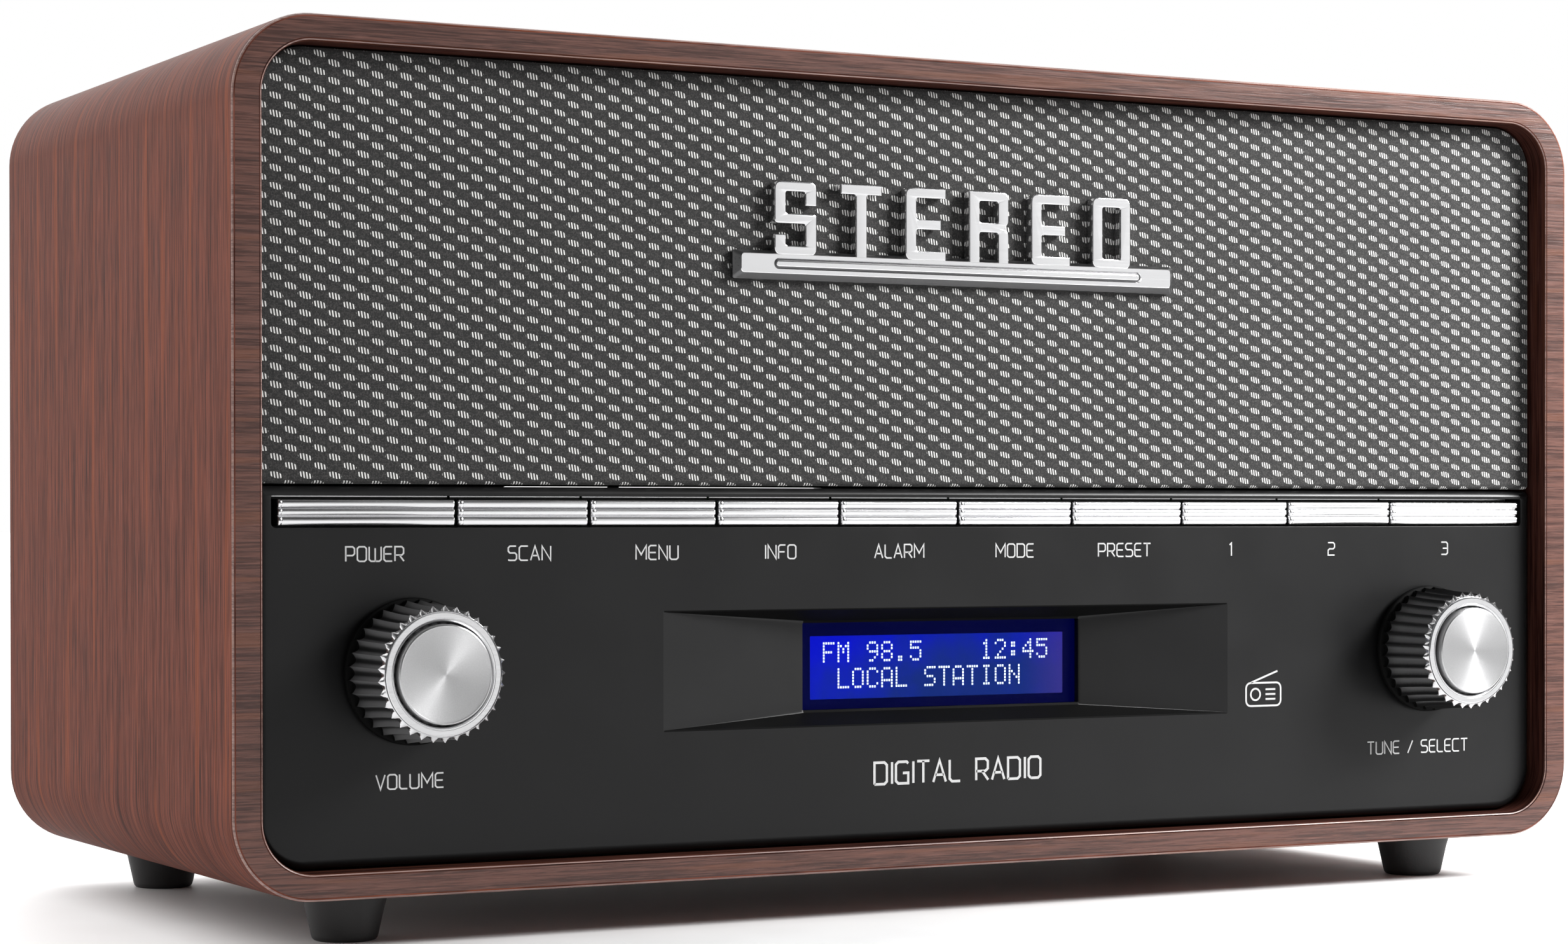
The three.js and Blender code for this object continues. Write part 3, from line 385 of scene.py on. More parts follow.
def grille_cloth_paint():
    """Dark woven cloth with staggered clusters of four pale slanting threads."""
    pitch_x, pitch_z = 6.05, 3.5
    paint = Paint("grille_cloth", (0.08, 0.08, 0.08), 0.85, Sheen_Weight=0.15, Sheen_Roughness=0.5)
    split = paint.node("ShaderNodeSeparateXYZ", {0: paint.scaled(1.0)})
    x, z = split.outputs[0], split.outputs[2]
    wobble = paint.noise(2.2, 1.0)
    inside = None
    threads = None
    for shift in (0.0, 0.5):
        u = paint.math("SUBTRACT", paint.math("FRACT", paint.math("ADD", paint.math("DIVIDE", x, pitch_x), shift)), 0.5)
        v = paint.math("SUBTRACT", paint.math("FRACT", paint.math("ADD", paint.math("DIVIDE", z, pitch_z), shift)), 0.5)
        u = paint.math("MULTIPLY", u, pitch_x)
        v = paint.math("MULTIPLY", v, pitch_z)
        tilted = paint.math("ADD", v, paint.math("MULTIPLY", u, 0.22))
        reach = paint.math("ADD", paint.math("POWER", paint.math("DIVIDE", u, 1.5), 2.0),
                           paint.math("POWER", paint.math("DIVIDE", tilted, 0.66), 2.0))
        reach = paint.math("ADD", reach, paint.math("MULTIPLY", paint.math("SUBTRACT", wobble, 0.5), 0.6))
        cluster = paint.remap(reach, 1.05, 0.8)
        across = paint.math("ADD", paint.math("MULTIPLY", u, 1 / 0.62), paint.math("MULTIPLY", v, 0.25))
        thread = paint.math("ABSOLUTE", paint.math("SUBTRACT", paint.math("FRACT", across), 0.5))
        thread = paint.remap(thread, 0.27, 0.18)
        mark = paint.math("MULTIPLY", cluster, thread)
        inside = cluster if inside is None else paint.math("MAXIMUM", inside, cluster)
        threads = mark if threads is None else paint.math("MAXIMUM", threads, mark)
    one = paint.math("SINE", paint.math("MULTIPLY", paint.math("ADD", x, z), 2 * math.pi / 0.62))
    two = paint.math("SINE", paint.math("MULTIPLY", paint.math("SUBTRACT", x, z), 2 * math.pi / 0.62))
    weave = paint.math("MULTIPLY", one, two)
    speckle = paint.noise(0.28, 2.0, 0.7)
    ground = paint.math("ADD", speckle, paint.math("MULTIPLY", weave, 0.10))
    color = paint.blend(paint.remap(ground, 0.48, 0.60), (0.001, 0.001, 0.001), (0.031, 0.029, 0.028))
    color = paint.blend(paint.math("MULTIPLY", inside, 0.75), color, (0.012, 0.012, 0.012))
    color = paint.blend(threads, color, (0.70, 0.69, 0.675))
    paint.link(color, "Base Color")
    height = paint.math("ADD", paint.math("MULTIPLY", ground, 0.5), paint.math("MULTIPLY", threads, 0.5))
    paint.bump(height, 0.12)
    return paint.material


def spun_paint():
    """Aluminium faced on a lathe: fine rings and a highlight that fans out from the middle."""
    paint = Paint("spun_aluminium", (0.6, 0.6, 0.61), 0.34, 1.0, Anisotropic=0.7, Anisotropic_Rotation=0.24)
    tangent = paint.node("ShaderNodeTangent", direction_type="RADIAL", axis="Y")
    paint.link(tangent.outputs[0], "Tangent")
    speckle = paint.noise(0.22, 2.0)
    paint.link(paint.remap(speckle, 0.3, 0.7, 0.30, 0.38), "Roughness")
    paint.link(paint.blend(speckle, (0.42, 0.42, 0.425), (0.56, 0.56, 0.565)), "Base Color")
    return paint.material


def grip_paint():
    """Satin black with painted light and shade on a knob's flutes: the hollows between the crests are painted paler as
    highlights, and the grip is painted darker towards its back as shade near the panel.
    """
    paint = Paint("grip_black", (0.04, 0.04, 0.04), 0.45, Specular_IOR_Level=0.35)
    split = paint.node("ShaderNodeSeparateXYZ", {0: paint.scaled(1.0)})
    across = paint.math("SUBTRACT", paint.math("ABSOLUTE", split.outputs[0]), KNOB_X)
    up = paint.math("SUBTRACT", split.outputs[2], SHELL_LOW.z / MM + KNOB_Z)
    turn = paint.math("MULTIPLY", paint.math("ARCTAN2", up, across), FLUTES / 2)
    # Painted highlight: the hollows between the crests come out paler, as if the flutes caught the light there.
    hollow = paint.math("ABSOLUTE", paint.math("SINE", turn))
    grain = paint.math("MULTIPLY", paint.noise(0.3, 2.0), 0.3)
    shade = paint.remap(paint.math("ADD", hollow, grain), 0.45, 1.1)
    color = paint.blend(shade, (0.012, 0.012, 0.0125), (0.125, 0.125, 0.127))
    # Painted shade: the grip turns near-black over its last 6 mm towards the panel.
    painted_rear_shade = paint.remap(split.outputs[1], SHELL_LOW.y / MM + KNOB_REAR - 6, SHELL_LOW.y / MM + KNOB_REAR, 1.0, 0.3)
    paint.link(paint.blend(painted_rear_shade, (0.008, 0.008, 0.008), color), "Base Color")
    paint.bump(paint.noise(0.2, 2.0), 0.004)
    return paint.material


def display_paint():
    """A blue backlit character display, brighter towards its left and top edges."""
    paint = Paint("display_blue", (0.002, 0.003, 0.05), 0.3, Specular_IOR_Level=0.02)
    split = paint.node("ShaderNodeSeparateXYZ", {0: paint.scaled(1.0)})
    x, z = split.outputs[0], split.outputs[2]
    across = paint.remap(x, -34.0, 6.0, 1.0, 0.0)
    up = paint.remap(z, LIT_LOW + 13, LIT_HIGH + 10.5, 0.0, 1.0)
    cloudy = paint.noise(5.0, 2.0)
    glow = paint.math("ADD", paint.math("MULTIPLY", across, 0.55), paint.math("MULTIPLY", up, 0.45))
    glow = paint.math("ADD", glow, paint.math("MULTIPLY", paint.math("SUBTRACT", cloudy, 0.5), 0.5))
    color = paint.blend(paint.remap(glow, 0.0, 1.0), (0.006, 0.027, 0.17), (0.001, 0.005, 0.66))
    color = paint.blend(paint.remap(x, 20.0, 34.0, 0.0, 0.55), color, (0.075, 0.042, 0.26))
    paint.link(color, "Emission Color")
    paint.set("Emission Strength", 0.85)
    return paint.material


LIT_LOW, LIT_HIGH = 35.6, 49.3
WALNUT_DARK = (0.040, 0.0126, 0.0092)
WALNUT_LIGHT = (0.157, 0.0505, 0.0335)
WALNUT_ORANGE = (0.188, 0.0505, 0.0228)
wrap_wood = veneer("walnut_wrap", (46.0, 0.5, 46.0), WALNUT_DARK, WALNUT_LIGHT, WALNUT_ORANGE)
edge_wood = veneer("walnut_edge", (34.0, 4.0, 0.5), (0.042, 0.0178, 0.014), (0.114, 0.0485, 0.0365), (0.126, 0.047, 0.027), 0.28, 0.40)
# A paler, glossier copy of the walnut, as a painted highlight along the rounded front edges.
arris_highlight_wood = veneer("walnut_arris_highlight", (34.0, 4.0, 0.5), (0.14, 0.08, 0.07), (0.30, 0.19, 0.165), (0.30, 0.17, 0.13), 0.4, 0.5)
# A darker copy of the walnut, as painted shade, for the cabinet's inside surfaces.
shaded_inner_wood = veneer("walnut_inner_shade", (46.0, 0.5, 46.0), (0.015, 0.005, 0.004), (0.06, 0.021, 0.015), (0.06, 0.02, 0.011))
cloth_material = grille_cloth_paint()
panel_black = grained("panel_black", (0.006, 0.006, 0.0062), 0.34, grain=0.16, relief=0.002, variation=0.06, Specular_IOR_Level=0.22)
# Near-black matte finish used as painted shade, on the scoop's top and bottom walls and on the knobs' rear lips.
painted_shade_black = grained("painted_shade_black", (0.004, 0.004, 0.004), 0.6, grain=0.3, relief=0.002, Specular_IOR_Level=0.03)
knob_black = grained("knob_black", (0.036, 0.036, 0.037), 0.34, grain=0.2, relief=0.004)
grip_black = grip_paint()
rear_black = grained("rear_black", (0.02, 0.02, 0.021), 0.5, grain=0.5, relief=0.05)
key_chrome = brushed("key_chrome", (0.74, 0.74, 0.75), 0.2, line=0.3, relief=0.0004)
chrome = brushed("trim_chrome", (0.79, 0.79, 0.80), 0.14, line=0.3, relief=0.0003)
bezel_chrome = brushed("bezel_chrome", (0.66, 0.66, 0.67), 0.2, line=0.3, relief=0.0003)
aerial_chrome = brushed("aerial_chrome", (0.50, 0.50, 0.52), 0.24, line=0.3, relief=0.0003)
spun = spun_paint()
# Dark metal that stands in for shade, on the badge bar's sloping sides and on the walls of its groove.
badge_shade_metal = brushed("badge_shade_metal", (0.13, 0.13, 0.132), 0.35, line=0.3, relief=0.0003)
zinc = brushed("zinc_plate", (0.50, 0.51, 0.53), 0.32, along="Z", relief=0.01)
rubber = grained("foot_rubber", (0.012, 0.0115, 0.0115), 0.6, grain=0.35, relief=0.02)
lead_sleeve = grained("lead_sleeve", (0.02, 0.02, 0.02), 0.5, grain=0.5, relief=0.01)
green_board = grained("solder_mask", (0.02, 0.13, 0.05), 0.35, grain=0.6, relief=0.02, variation=0.3)
fibreboard = grained("fibreboard", (0.36, 0.25, 0.15), 0.8, grain=0.8, relief=0.08, variation=0.25)
ferrite = grained("ferrite", (0.03, 0.03, 0.032), 0.55, grain=0.4, relief=0.03)
cone_paper = grained("cone_paper", (0.02, 0.02, 0.02), 0.9, grain=0.5, relief=0.06)
label_ink = grained("label_ink", (0.50, 0.50, 0.50), 0.5, grain=0.2, relief=0.004, variation=0.05)
display_blue = display_paint()
display_edge = grained("display_edge", (0.001, 0.001, 0.01), 0.3, relief=0.001, Specular_IOR_Level=0.02)
display_edge.node_tree.nodes["Principled BSDF"].inputs["Emission Color"].default_value = (0.0, 0.0003, 0.03, 1)
display_edge.node_tree.nodes["Principled BSDF"].inputs["Emission Strength"].default_value = 1.0
lit_dot = grained("display_dots", (0.8, 0.85, 0.9), 0.4, relief=0.001)
lit_dot.node_tree.nodes["Principled BSDF"].inputs["Emission Color"].default_value = (0.72, 0.88, 1.0, 1)
lit_dot.node_tree.nodes["Principled BSDF"].inputs["Emission Strength"].default_value = 0.85
acrylic = Paint("display_acrylic", (0.96, 0.97, 1.0), 0.0, Transmission_Weight=1.0, IOR=1.03)
acrylic.link(acrylic.blend(acrylic.noise(6.0), (0.94, 0.95, 0.99), (0.97, 0.98, 1.0)), "Base Color")
acrylic = acrylic.material

# ---------- Cabinet ----------

EDGE_ROLL = 0.7


def make_cabinet():
    form = Form()
    outer = lambda inset: rounded(WIDTH, 0, HEIGHT, OUTER_RADIUS, inset=inset, steps=16)
    inner = lambda inset: rounded(INNER_WIDTH, TOP_WALL, INNER_TOP, INNER_RADIUS, inset=-inset, steps=16)
    quarter = arc(4)
    sections, finishes = [], []
    for inset, setback in quarter:
        sections.append(at(outer(EDGE_ROLL * inset), EDGE_ROLL * setback))
        finishes.append(0)
    for inset, setback in reversed(quarter):
        sections.append(at(outer(EDGE_ROLL * inset), DEPTH - EDGE_ROLL * setback))
        finishes.append(0)
    finishes[-1] = 1
    # Painted shade: the inside of the cabinet gets the darker walnut copy.
    for inset, setback in quarter:
        sections.append(at(inner(EDGE_ROLL * inset), DEPTH - EDGE_ROLL * setback))
        finishes.append(2)
    for inset, setback in reversed(quarter):
        sections.append(at(inner(EDGE_ROLL * inset), EDGE_ROLL * setback))
        finishes.append(2)
    finishes[-1] = 1
    # Painted highlight: part of each front edge roll gets the paler walnut copy.
    for corner in (1, 2, len(finishes) - 3):
        finishes[corner] = 3
    form.skin(sections, finishes, loop=True)
    form.build("cabinet", [wrap_wood, edge_wood, shaded_inner_wood, arris_highlight_wood], stands_for="cabinet_shell")


make_cabinet()

# ---------- Grille cloth ----------


def make_cloth():
    form = Form()
    outline = lambda inset: rounded(FIT_WIDTH, CLOTH_LOW.z, CLOTH_HIGH.z, 1.0, FIT_RADIUS, inset=inset)
    thickness = 0.35
    front = [at(outline(CLOTH_ROLL * inset), CLOTH_LOW.y + CLOTH_ROLL * setback) for inset, setback in arc(5)]
    back = [at(outline(CLOTH_ROLL * inset + thickness * (1 - inset)), CLOTH_LOW.y + thickness + (CLOTH_ROLL - thickness) * setback)
            for inset, setback in reversed(arc(5))]
    form.skin(front + back)
    cloth = form.build("grille_cloth_sheet", cloth_material, stands_for="grille_cloth")


make_cloth()

# ---------- Control panel ----------


def make_panel():
    form = Form()
    outer = front_rolled(
        lambda inset: rounded(FIT_WIDTH, PANEL_LOW.z, PANEL_HIGH.z, FIT_RADIUS, 1.0, inset=inset, steps=12),
        PANEL_FACE, PANEL_ROLL, PANEL_BACK, steps=6)
    outer_rings = form.skin(outer, ends=False)
    edge = 0.25
    slot = front_rolled(lambda inset: rounded(SLOT_LENGTH, SLOT_LOW, SLOT_HIGH, 0.9, inset=-inset, steps=5),
                        PANEL_FACE, edge, PANEL_BACK, steps=3)
    hole_rings = [form.skin(slot, ends=False)]
    for side in (-1, 1):
        hole = lambda inset: circle(4.5 + inset, side * KNOB_X, KNOB_Z)
        hole_rings.append(form.skin(front_rolled(hole, PANEL_FACE, edge, PANEL_BACK, steps=2), ends=False))
    mouth = lambda inset: rounded(SCOOP_WIDTH, SCOOP_LOW, SCOOP_HIGH, 0.1, inset=inset, steps=2)
    window = lambda inset: rounded(WINDOW_WIDTH, WINDOW_LOW, WINDOW_HIGH, 0.1, inset=inset, steps=2)
    scoop = [
        at(mouth(-0.2), PANEL_FACE),
        at(mouth(0.1), PANEL_FACE + 0.12),
        at(window(-0.5), WINDOW_FACE - 0.25),
        at(window(0), WINDOW_FACE),
        at(window(0), WINDOW_FACE + 1.6),
        at(window(-2.0), WINDOW_FACE + 1.6),
        at(rounded(110, SCOOP_LOW + 0.3, SCOOP_HIGH - 0.3, 0.1, steps=2), PANEL_BACK),
    ]
    first_face = len(form.faces)
    hole_rings.append(form.skin(scoop, ends=False))
    # Painted shade: the scoop's top and bottom walls, the faces that cross its middle, get the near-black matte finish
    # instead of the panel's.
    for number in range(first_face, len(form.faces)):
        xs = [form.points[i][0] for i in form.faces[number]]
        if min(xs) < 0 < max(xs):
            form.finishes[number] = 1
    form.fill(outer_rings[0], [rings[0] for rings in hole_rings])
    form.fill(outer_rings[-1], [rings[-1] for rings in hole_rings])
    form.build("panel", [panel_black, painted_shade_black], stands_for="control_panel", crease=25)


make_panel()

# ---------- Keys ----------

KEYS = ("power", "scan", "menu", "info", "alarm", "mode", "preset", "1", "2", "3")
ROLL_JOINTS = (0.0, 0.34, 0.61, 1.0)
ROLL_BULGE = 0.84
KEY_ROOT = KEY_FRONT + 1.5
END_ROUND = 0.4
LIP_LOW, LIP_HIGH = 0.42, 0.72
SEAM = 0.9


def key_section():
    """(y, z) points down the front of a key, over its three rolls and round its flange."""
    tall = KEY_HIGH - KEY_LOW
    back = KEY_FLANGE + 1.5
    points = [
        (back, KEY_HIGH + FLANGE_OVERLAP),
        (KEY_FLANGE, KEY_HIGH + FLANGE_OVERLAP),
        (KEY_FLANGE, KEY_HIGH + LIP_HIGH),
        (KEY_FLANGE - 0.1, KEY_HIGH + LIP_HIGH - 0.06),
        (KEY_FLANGE - 0.1, KEY_HIGH + LIP_LOW + 0.06),
        (KEY_FLANGE, KEY_HIGH + LIP_LOW),
        (KEY_FLANGE, KEY_HIGH),
    ]
    steps = 10
    for roll in range(3):
        top = KEY_HIGH - tall * ROLL_JOINTS[roll]
        bottom = KEY_HIGH - tall * ROLL_JOINTS[roll + 1]
        radius = (top - bottom) / 2
        for step in range(1 if roll else 0, steps + 1):
            a = math.pi * step / steps
            y = KEY_FRONT + radius * ROLL_BULGE * (1 - math.sin(a))
            points.append((y, (top + bottom) / 2 + math.cos(a) * radius))
    points += [(KEY_FLANGE, KEY_LOW), (KEY_FLANGE, KEY_LOW - FLANGE_OVERLAP), (back, KEY_LOW - FLANGE_OVERLAP)]
    return points


def make_key(name):
    low, high = box_mm(f"key_{name}")
    form = Form()
    section = key_section()
    stations = [(0.0, 1.0)]
    for step in range(1, 6):
        a = math.pi / 2 * step / 5
        stations.append((END_ROUND * (1 - math.cos(a)), 1 - math.sin(a)))
    seam = [(low.x + SEAM, 0.0), (low.x + SEAM + 0.1, 0.05), (low.x + SEAM + 0.2, 0.0)]
    places = [(low.x + offset, tuck) for offset, tuck in stations] + seam
    places += [(high.x - offset, tuck) for offset, tuck in reversed(stations)]
    sections = []
    for x, tuck in places:
        sections.append([(x, y + max(0.0, KEY_ROOT - y) * tuck, z) for y, z in section])
    form.skin(sections)
    # Painted shade: apart from the thin lip, the flange faces above and below the rolls get the black finish, standing
    # in for the shade and dark reflection inside the slot.
    for number, corners in enumerate(form.faces):
        heights = [form.points[i][2] for i in corners]
        above = min(heights) > KEY_HIGH - 0.01
        lip = min(heights) > KEY_HIGH + LIP_LOW - 0.01 and max(heights) < KEY_HIGH + LIP_HIGH + 0.01
        below = max(heights) < KEY_LOW + 0.01
        if below or (above and not lip):
            form.finishes[number] = 1
    stem = (low.x + high.x) / 2
    softened_block(form, (stem - 3, KEY_FLANGE + 1.6, KEY_LOW + 1), (stem + 3, high.y, KEY_HIGH - 1), 0.3)
    form.build(f"{name}_key", [key_chrome, rear_black], body=f"key_{name}", stands_for=f"key_{name}")


for key in KEYS:
    make_key(key)

# ---------- Knobs ----------

FLUTE_STEPS = 8
RING_POINTS = FLUTES * FLUTE_STEPS


def fluted(radius, depth, centre):
    """A ring of (x, z) with a sharp crest and a round hollow for each flute."""
    points = []
    for i in range(RING_POINTS):
        a = 2 * math.pi * i / RING_POINTS
        reach = radius - depth * math.sin(math.pi * (i % FLUTE_STEPS) / FLUTE_STEPS) ** 0.8
        points.append((centre + reach * math.cos(a), KNOB_Z + reach * math.sin(a)))
    return points


def make_knob(name, x):
    body = f"{name}_knob"
    form = Form()
    sections = []
    for t in (0.0, 0.03, 0.25, 0.5, 0.7, 0.84, 0.90):
        flare = 13.2 + 1.3 * t ** 1.6
        trim = 0.35 if t == 0.0 else 0.0
        sections.append(at(fluted(flare - trim, FLUTE_DEPTH - trim * 0.5, x), KNOB_FRONT + (KNOB_REAR - KNOB_FRONT) * t))
    lip = lambda radius, y: at(circle(radius, x, KNOB_Z, RING_POINTS), y)
    sections += [lip(13.2, KNOB_REAR - 1.4), lip(14.3, KNOB_REAR - 1.3), lip(14.55, KNOB_REAR - 1.0),
                 lip(14.6, KNOB_REAR - 0.3), lip(14.3, KNOB_REAR)]
    # Painted shade: the flared lip at the knob's back, next to the panel, gets the near-black matte finish.
    outer = form.skin(sections, [0] * 5 + [1] * 6, ends=False)
    form.fill(outer[0])
    bore = form.skin([at(circle(3.3, x, KNOB_Z), KNOB_REAR), at(circle(3.3, x, KNOB_Z), KNOB_FRONT + 2.9)], ends=False)
    form.fill(bore[1])
    form.fill(outer[-1], [bore[0]])
    form.build(f"{name}_grip", [grip_black, painted_shade_black], body=body, stands_for=f"{name}_knob_body", crease=50)

    bezel = Form()
    ring = lambda radius, y: at(circle(radius, x, KNOB_Z, RING_POINTS), y)
    back = KNOB_FRONT - 0.3
    bezel.skin([
        at(fluted(13.3, 0.9, x), back + 0.1),
        at(fluted(13.4, 0.85, x), back),
        at(fluted(13.36, 0.82, x), back - 0.1),
        ring(12.3, back - 0.85),
        ring(12.22, back - 0.9),
        ring(12.14, back - 0.6),
        ring(12.06, back - 0.6),
        ring(12.0, back - 0.98),
        ring(11.88, back - 1.1),
        ring(10.95, back - 1.1),
        ring(10.9, back - 0.95),
        ring(10.78, back - 0.95),
        ring(10.72, back - 1.08),
        ring(10.6, back - 1.1),
        ring(10.35, back - 0.95),
        ring(10.08, back - 0.45),
        ring(10.0, back),
    ], loop=True)
    bezel.build(f"{name}_bezel", bezel_chrome, body=body, stands_for=f"{name}_knob_ring", crease=28)

    cap = Form()
    turned(cap, [(9.6, back), (9.75, back - 0.15), (9.75, -13.28), (9.68, -13.45), (9.45, -13.6), (9.3, -13.6),
                 (9.2, -13.56), (6.5, -13.5), (3.0, -13.46), (0.6, -13.45)], centre=(x, 0, KNOB_Z), steps=96)
    cap.build(f"{name}_cap", spun, body=body, stands_for=f"{name}_knob_cap", crease=30)


make_knob("volume", -KNOB_X)
make_knob("tune", KNOB_X)

# ---------- Badge ----------

BADGE_FACE = 2.6
BADGE_BACK = 4.9
BAR_WIDTH = 107.5
BAR_LOW, BAR_HIGH = 125.3, 129.4
LETTER_HEIGHT = 15.5
LETTER_WIDTH = 10.0
LETTER_PITCH = 15.8
LETTER_OFFSET = -1.4
STEM = 2.7
BAR = 2.1


def letter_outlines(letter):
    """A plain block letter: its outline, then its hole if it has one, as (x, z, radius) corners."""
    w, h, t, s = LETTER_WIDTH, LETTER_HEIGHT, STEM, BAR
    middle = h / 2
    soft, tight = 1.7, 0.5
    if letter == "S":
        return [[(0, 0, soft), (w, 0, soft), (w, middle + s / 2, soft / 2), (t, middle + s / 2, tight), (t, h - s, tight),
                 (w - t, h - s, tight), (w - t, h - 5, 0), (w, h - 5, 0), (w, h, soft), (0, h, soft),
                 (0, middle - s / 2, soft / 2), (w - t, middle - s / 2, tight), (w - t, s, tight), (t, s, tight),
                 (t, 4.4, 0), (0, 4.4, 0)]]
    if letter == "T":
        return [[((w - t) / 2, 0, 0), ((w + t) / 2, 0, 0), ((w + t) / 2, h - s, tight), (w, h - s, 0), (w, h, 0), (0, h, 0),
                 (0, h - s, 0), ((w - t) / 2, h - s, tight)]]
    if letter == "E":
        return [[(0, 0, soft), (w, 0, 0), (w, s, 0), (t, s, tight), (t, middle - s / 2, tight), (w - 1.2, middle - s / 2, 0),
                 (w - 1.2, middle + s / 2, 0), (t, middle + s / 2, tight), (t, h - s, tight), (w, h - s, 0), (w, h, 0),
                 (0, h, soft)]]
    if letter == "R":
        return [[(0, 0, 0), (t, 0, 0), (t, middle - s / 2, tight), (w - t, middle - s / 2, tight), (w - t, 0, 0), (w, 0, 0),
                 (w, middle - 1, soft / 2), (w - 1, middle, tight), (w, middle + 1, soft / 2), (w, h, soft), (0, h, 0)],
                [(t, middle + s / 2, tight), (t, h - s, tight), (w - t, h - s, tight), (w - t, middle + s / 2, tight)]]
    return [[(0, 0, soft), (w, 0, soft), (w, h, soft), (0, h, soft)],
            [(t, s, tight), (t, h - s, tight), (w - t, h - s, tight), (w - t, s, tight)]]


def inset_path(path, distance):
    """A closed outline moved inwards, or outwards for a hole drawn the other way round."""
    points = [Vector(p) for p in path]
    count = len(points)
    moved = []
    for i, here in enumerate(points):
        into = (here - points[i - 1]).normalized()
        out = (points[(i + 1) % count] - here).normalized()
        normals = [Vector((-into.y, into.x)), Vector((-out.y, out.x))]
        mitre = (normals[0] + normals[1]).normalized()
        moved.append(tuple(here + mitre * distance / max(mitre.dot(normals[0]), 0.5)))
    return moved


def make_badge():
    form = Form()
    edge = 0.28
    for i, letter in enumerate("STEREO"):
        left = LETTER_OFFSET + (i - 2.5) * LETTER_PITCH - LETTER_WIDTH / 2
        loops = []
        for corners in letter_outlines(letter):
            path = [(left + x, BAR_HIGH - 0.3 + z) for x, z in rounded_path(corners)]
            loops.append(form.skin([at(inset_path(path, edge), BADGE_FACE), at(inset_path(path, edge * 0.3), BADGE_FACE + edge * 0.3),
                                    at(path, BADGE_FACE + edge), at(path, BADGE_BACK)], ends=False))
        form.fill(loops[0][0], [loop[0] for loop in loops[1:]])
        form.fill(loops[0][-1], [loop[-1] for loop in loops[1:]])
    draft = 1.3
    corner = 0.7
    bar = lambda grow, up: rounded(BAR_WIDTH + 2 * grow, BAR_LOW - grow, BAR_HIGH + up, corner, steps=4)
    # Painted shade: the bar's sloping sides behind its front rim get the dark metal.
    outer = form.skin([at(bar(-0.12, -0.12), BADGE_FACE), at(bar(0, 0), BADGE_FACE + 0.1),
                       at(bar(draft - 0.1, draft / 2), BADGE_FACE + 1.3), at(bar(draft, draft / 2 + 0.05), BADGE_FACE + 1.5),
                       at(bar(draft, draft / 2 + 0.05), BADGE_BACK)], [0, 1, 1, 1], ends=False)
    middle = (BAR_LOW + BAR_HIGH) / 2
    groove = lambda length, tall: rounded(length, middle - tall / 2, middle + tall / 2, tall / 2, steps=8)
    # Painted shade: the deepest walls of the groove get the dark metal, and the rest stays chrome.
    recess = form.skin([
        at(groove(92.0, 2.3), BADGE_FACE),
        at(groove(91.8, 2.1), BADGE_FACE + 0.2),
        at(groove(91.4, 1.7), BADGE_FACE + 0.4),
        at(groove(91.0, 1.3), BADGE_FACE + 0.35),
        at(groove(90.8, 1.1), BADGE_FACE + 0.05),
        at(groove(90.5, 0.8), BADGE_FACE),
    ], [0, 1, 1, 0, 0], ends=False)
    form.fill(outer[0], [recess[0]])
    form.fill(recess[-1])
    form.fill(outer[-1])
    form.build("badge_word", [chrome, badge_shade_metal], stands_for="badge", crease=30)


make_badge()

# ---------- Printed labels ----------

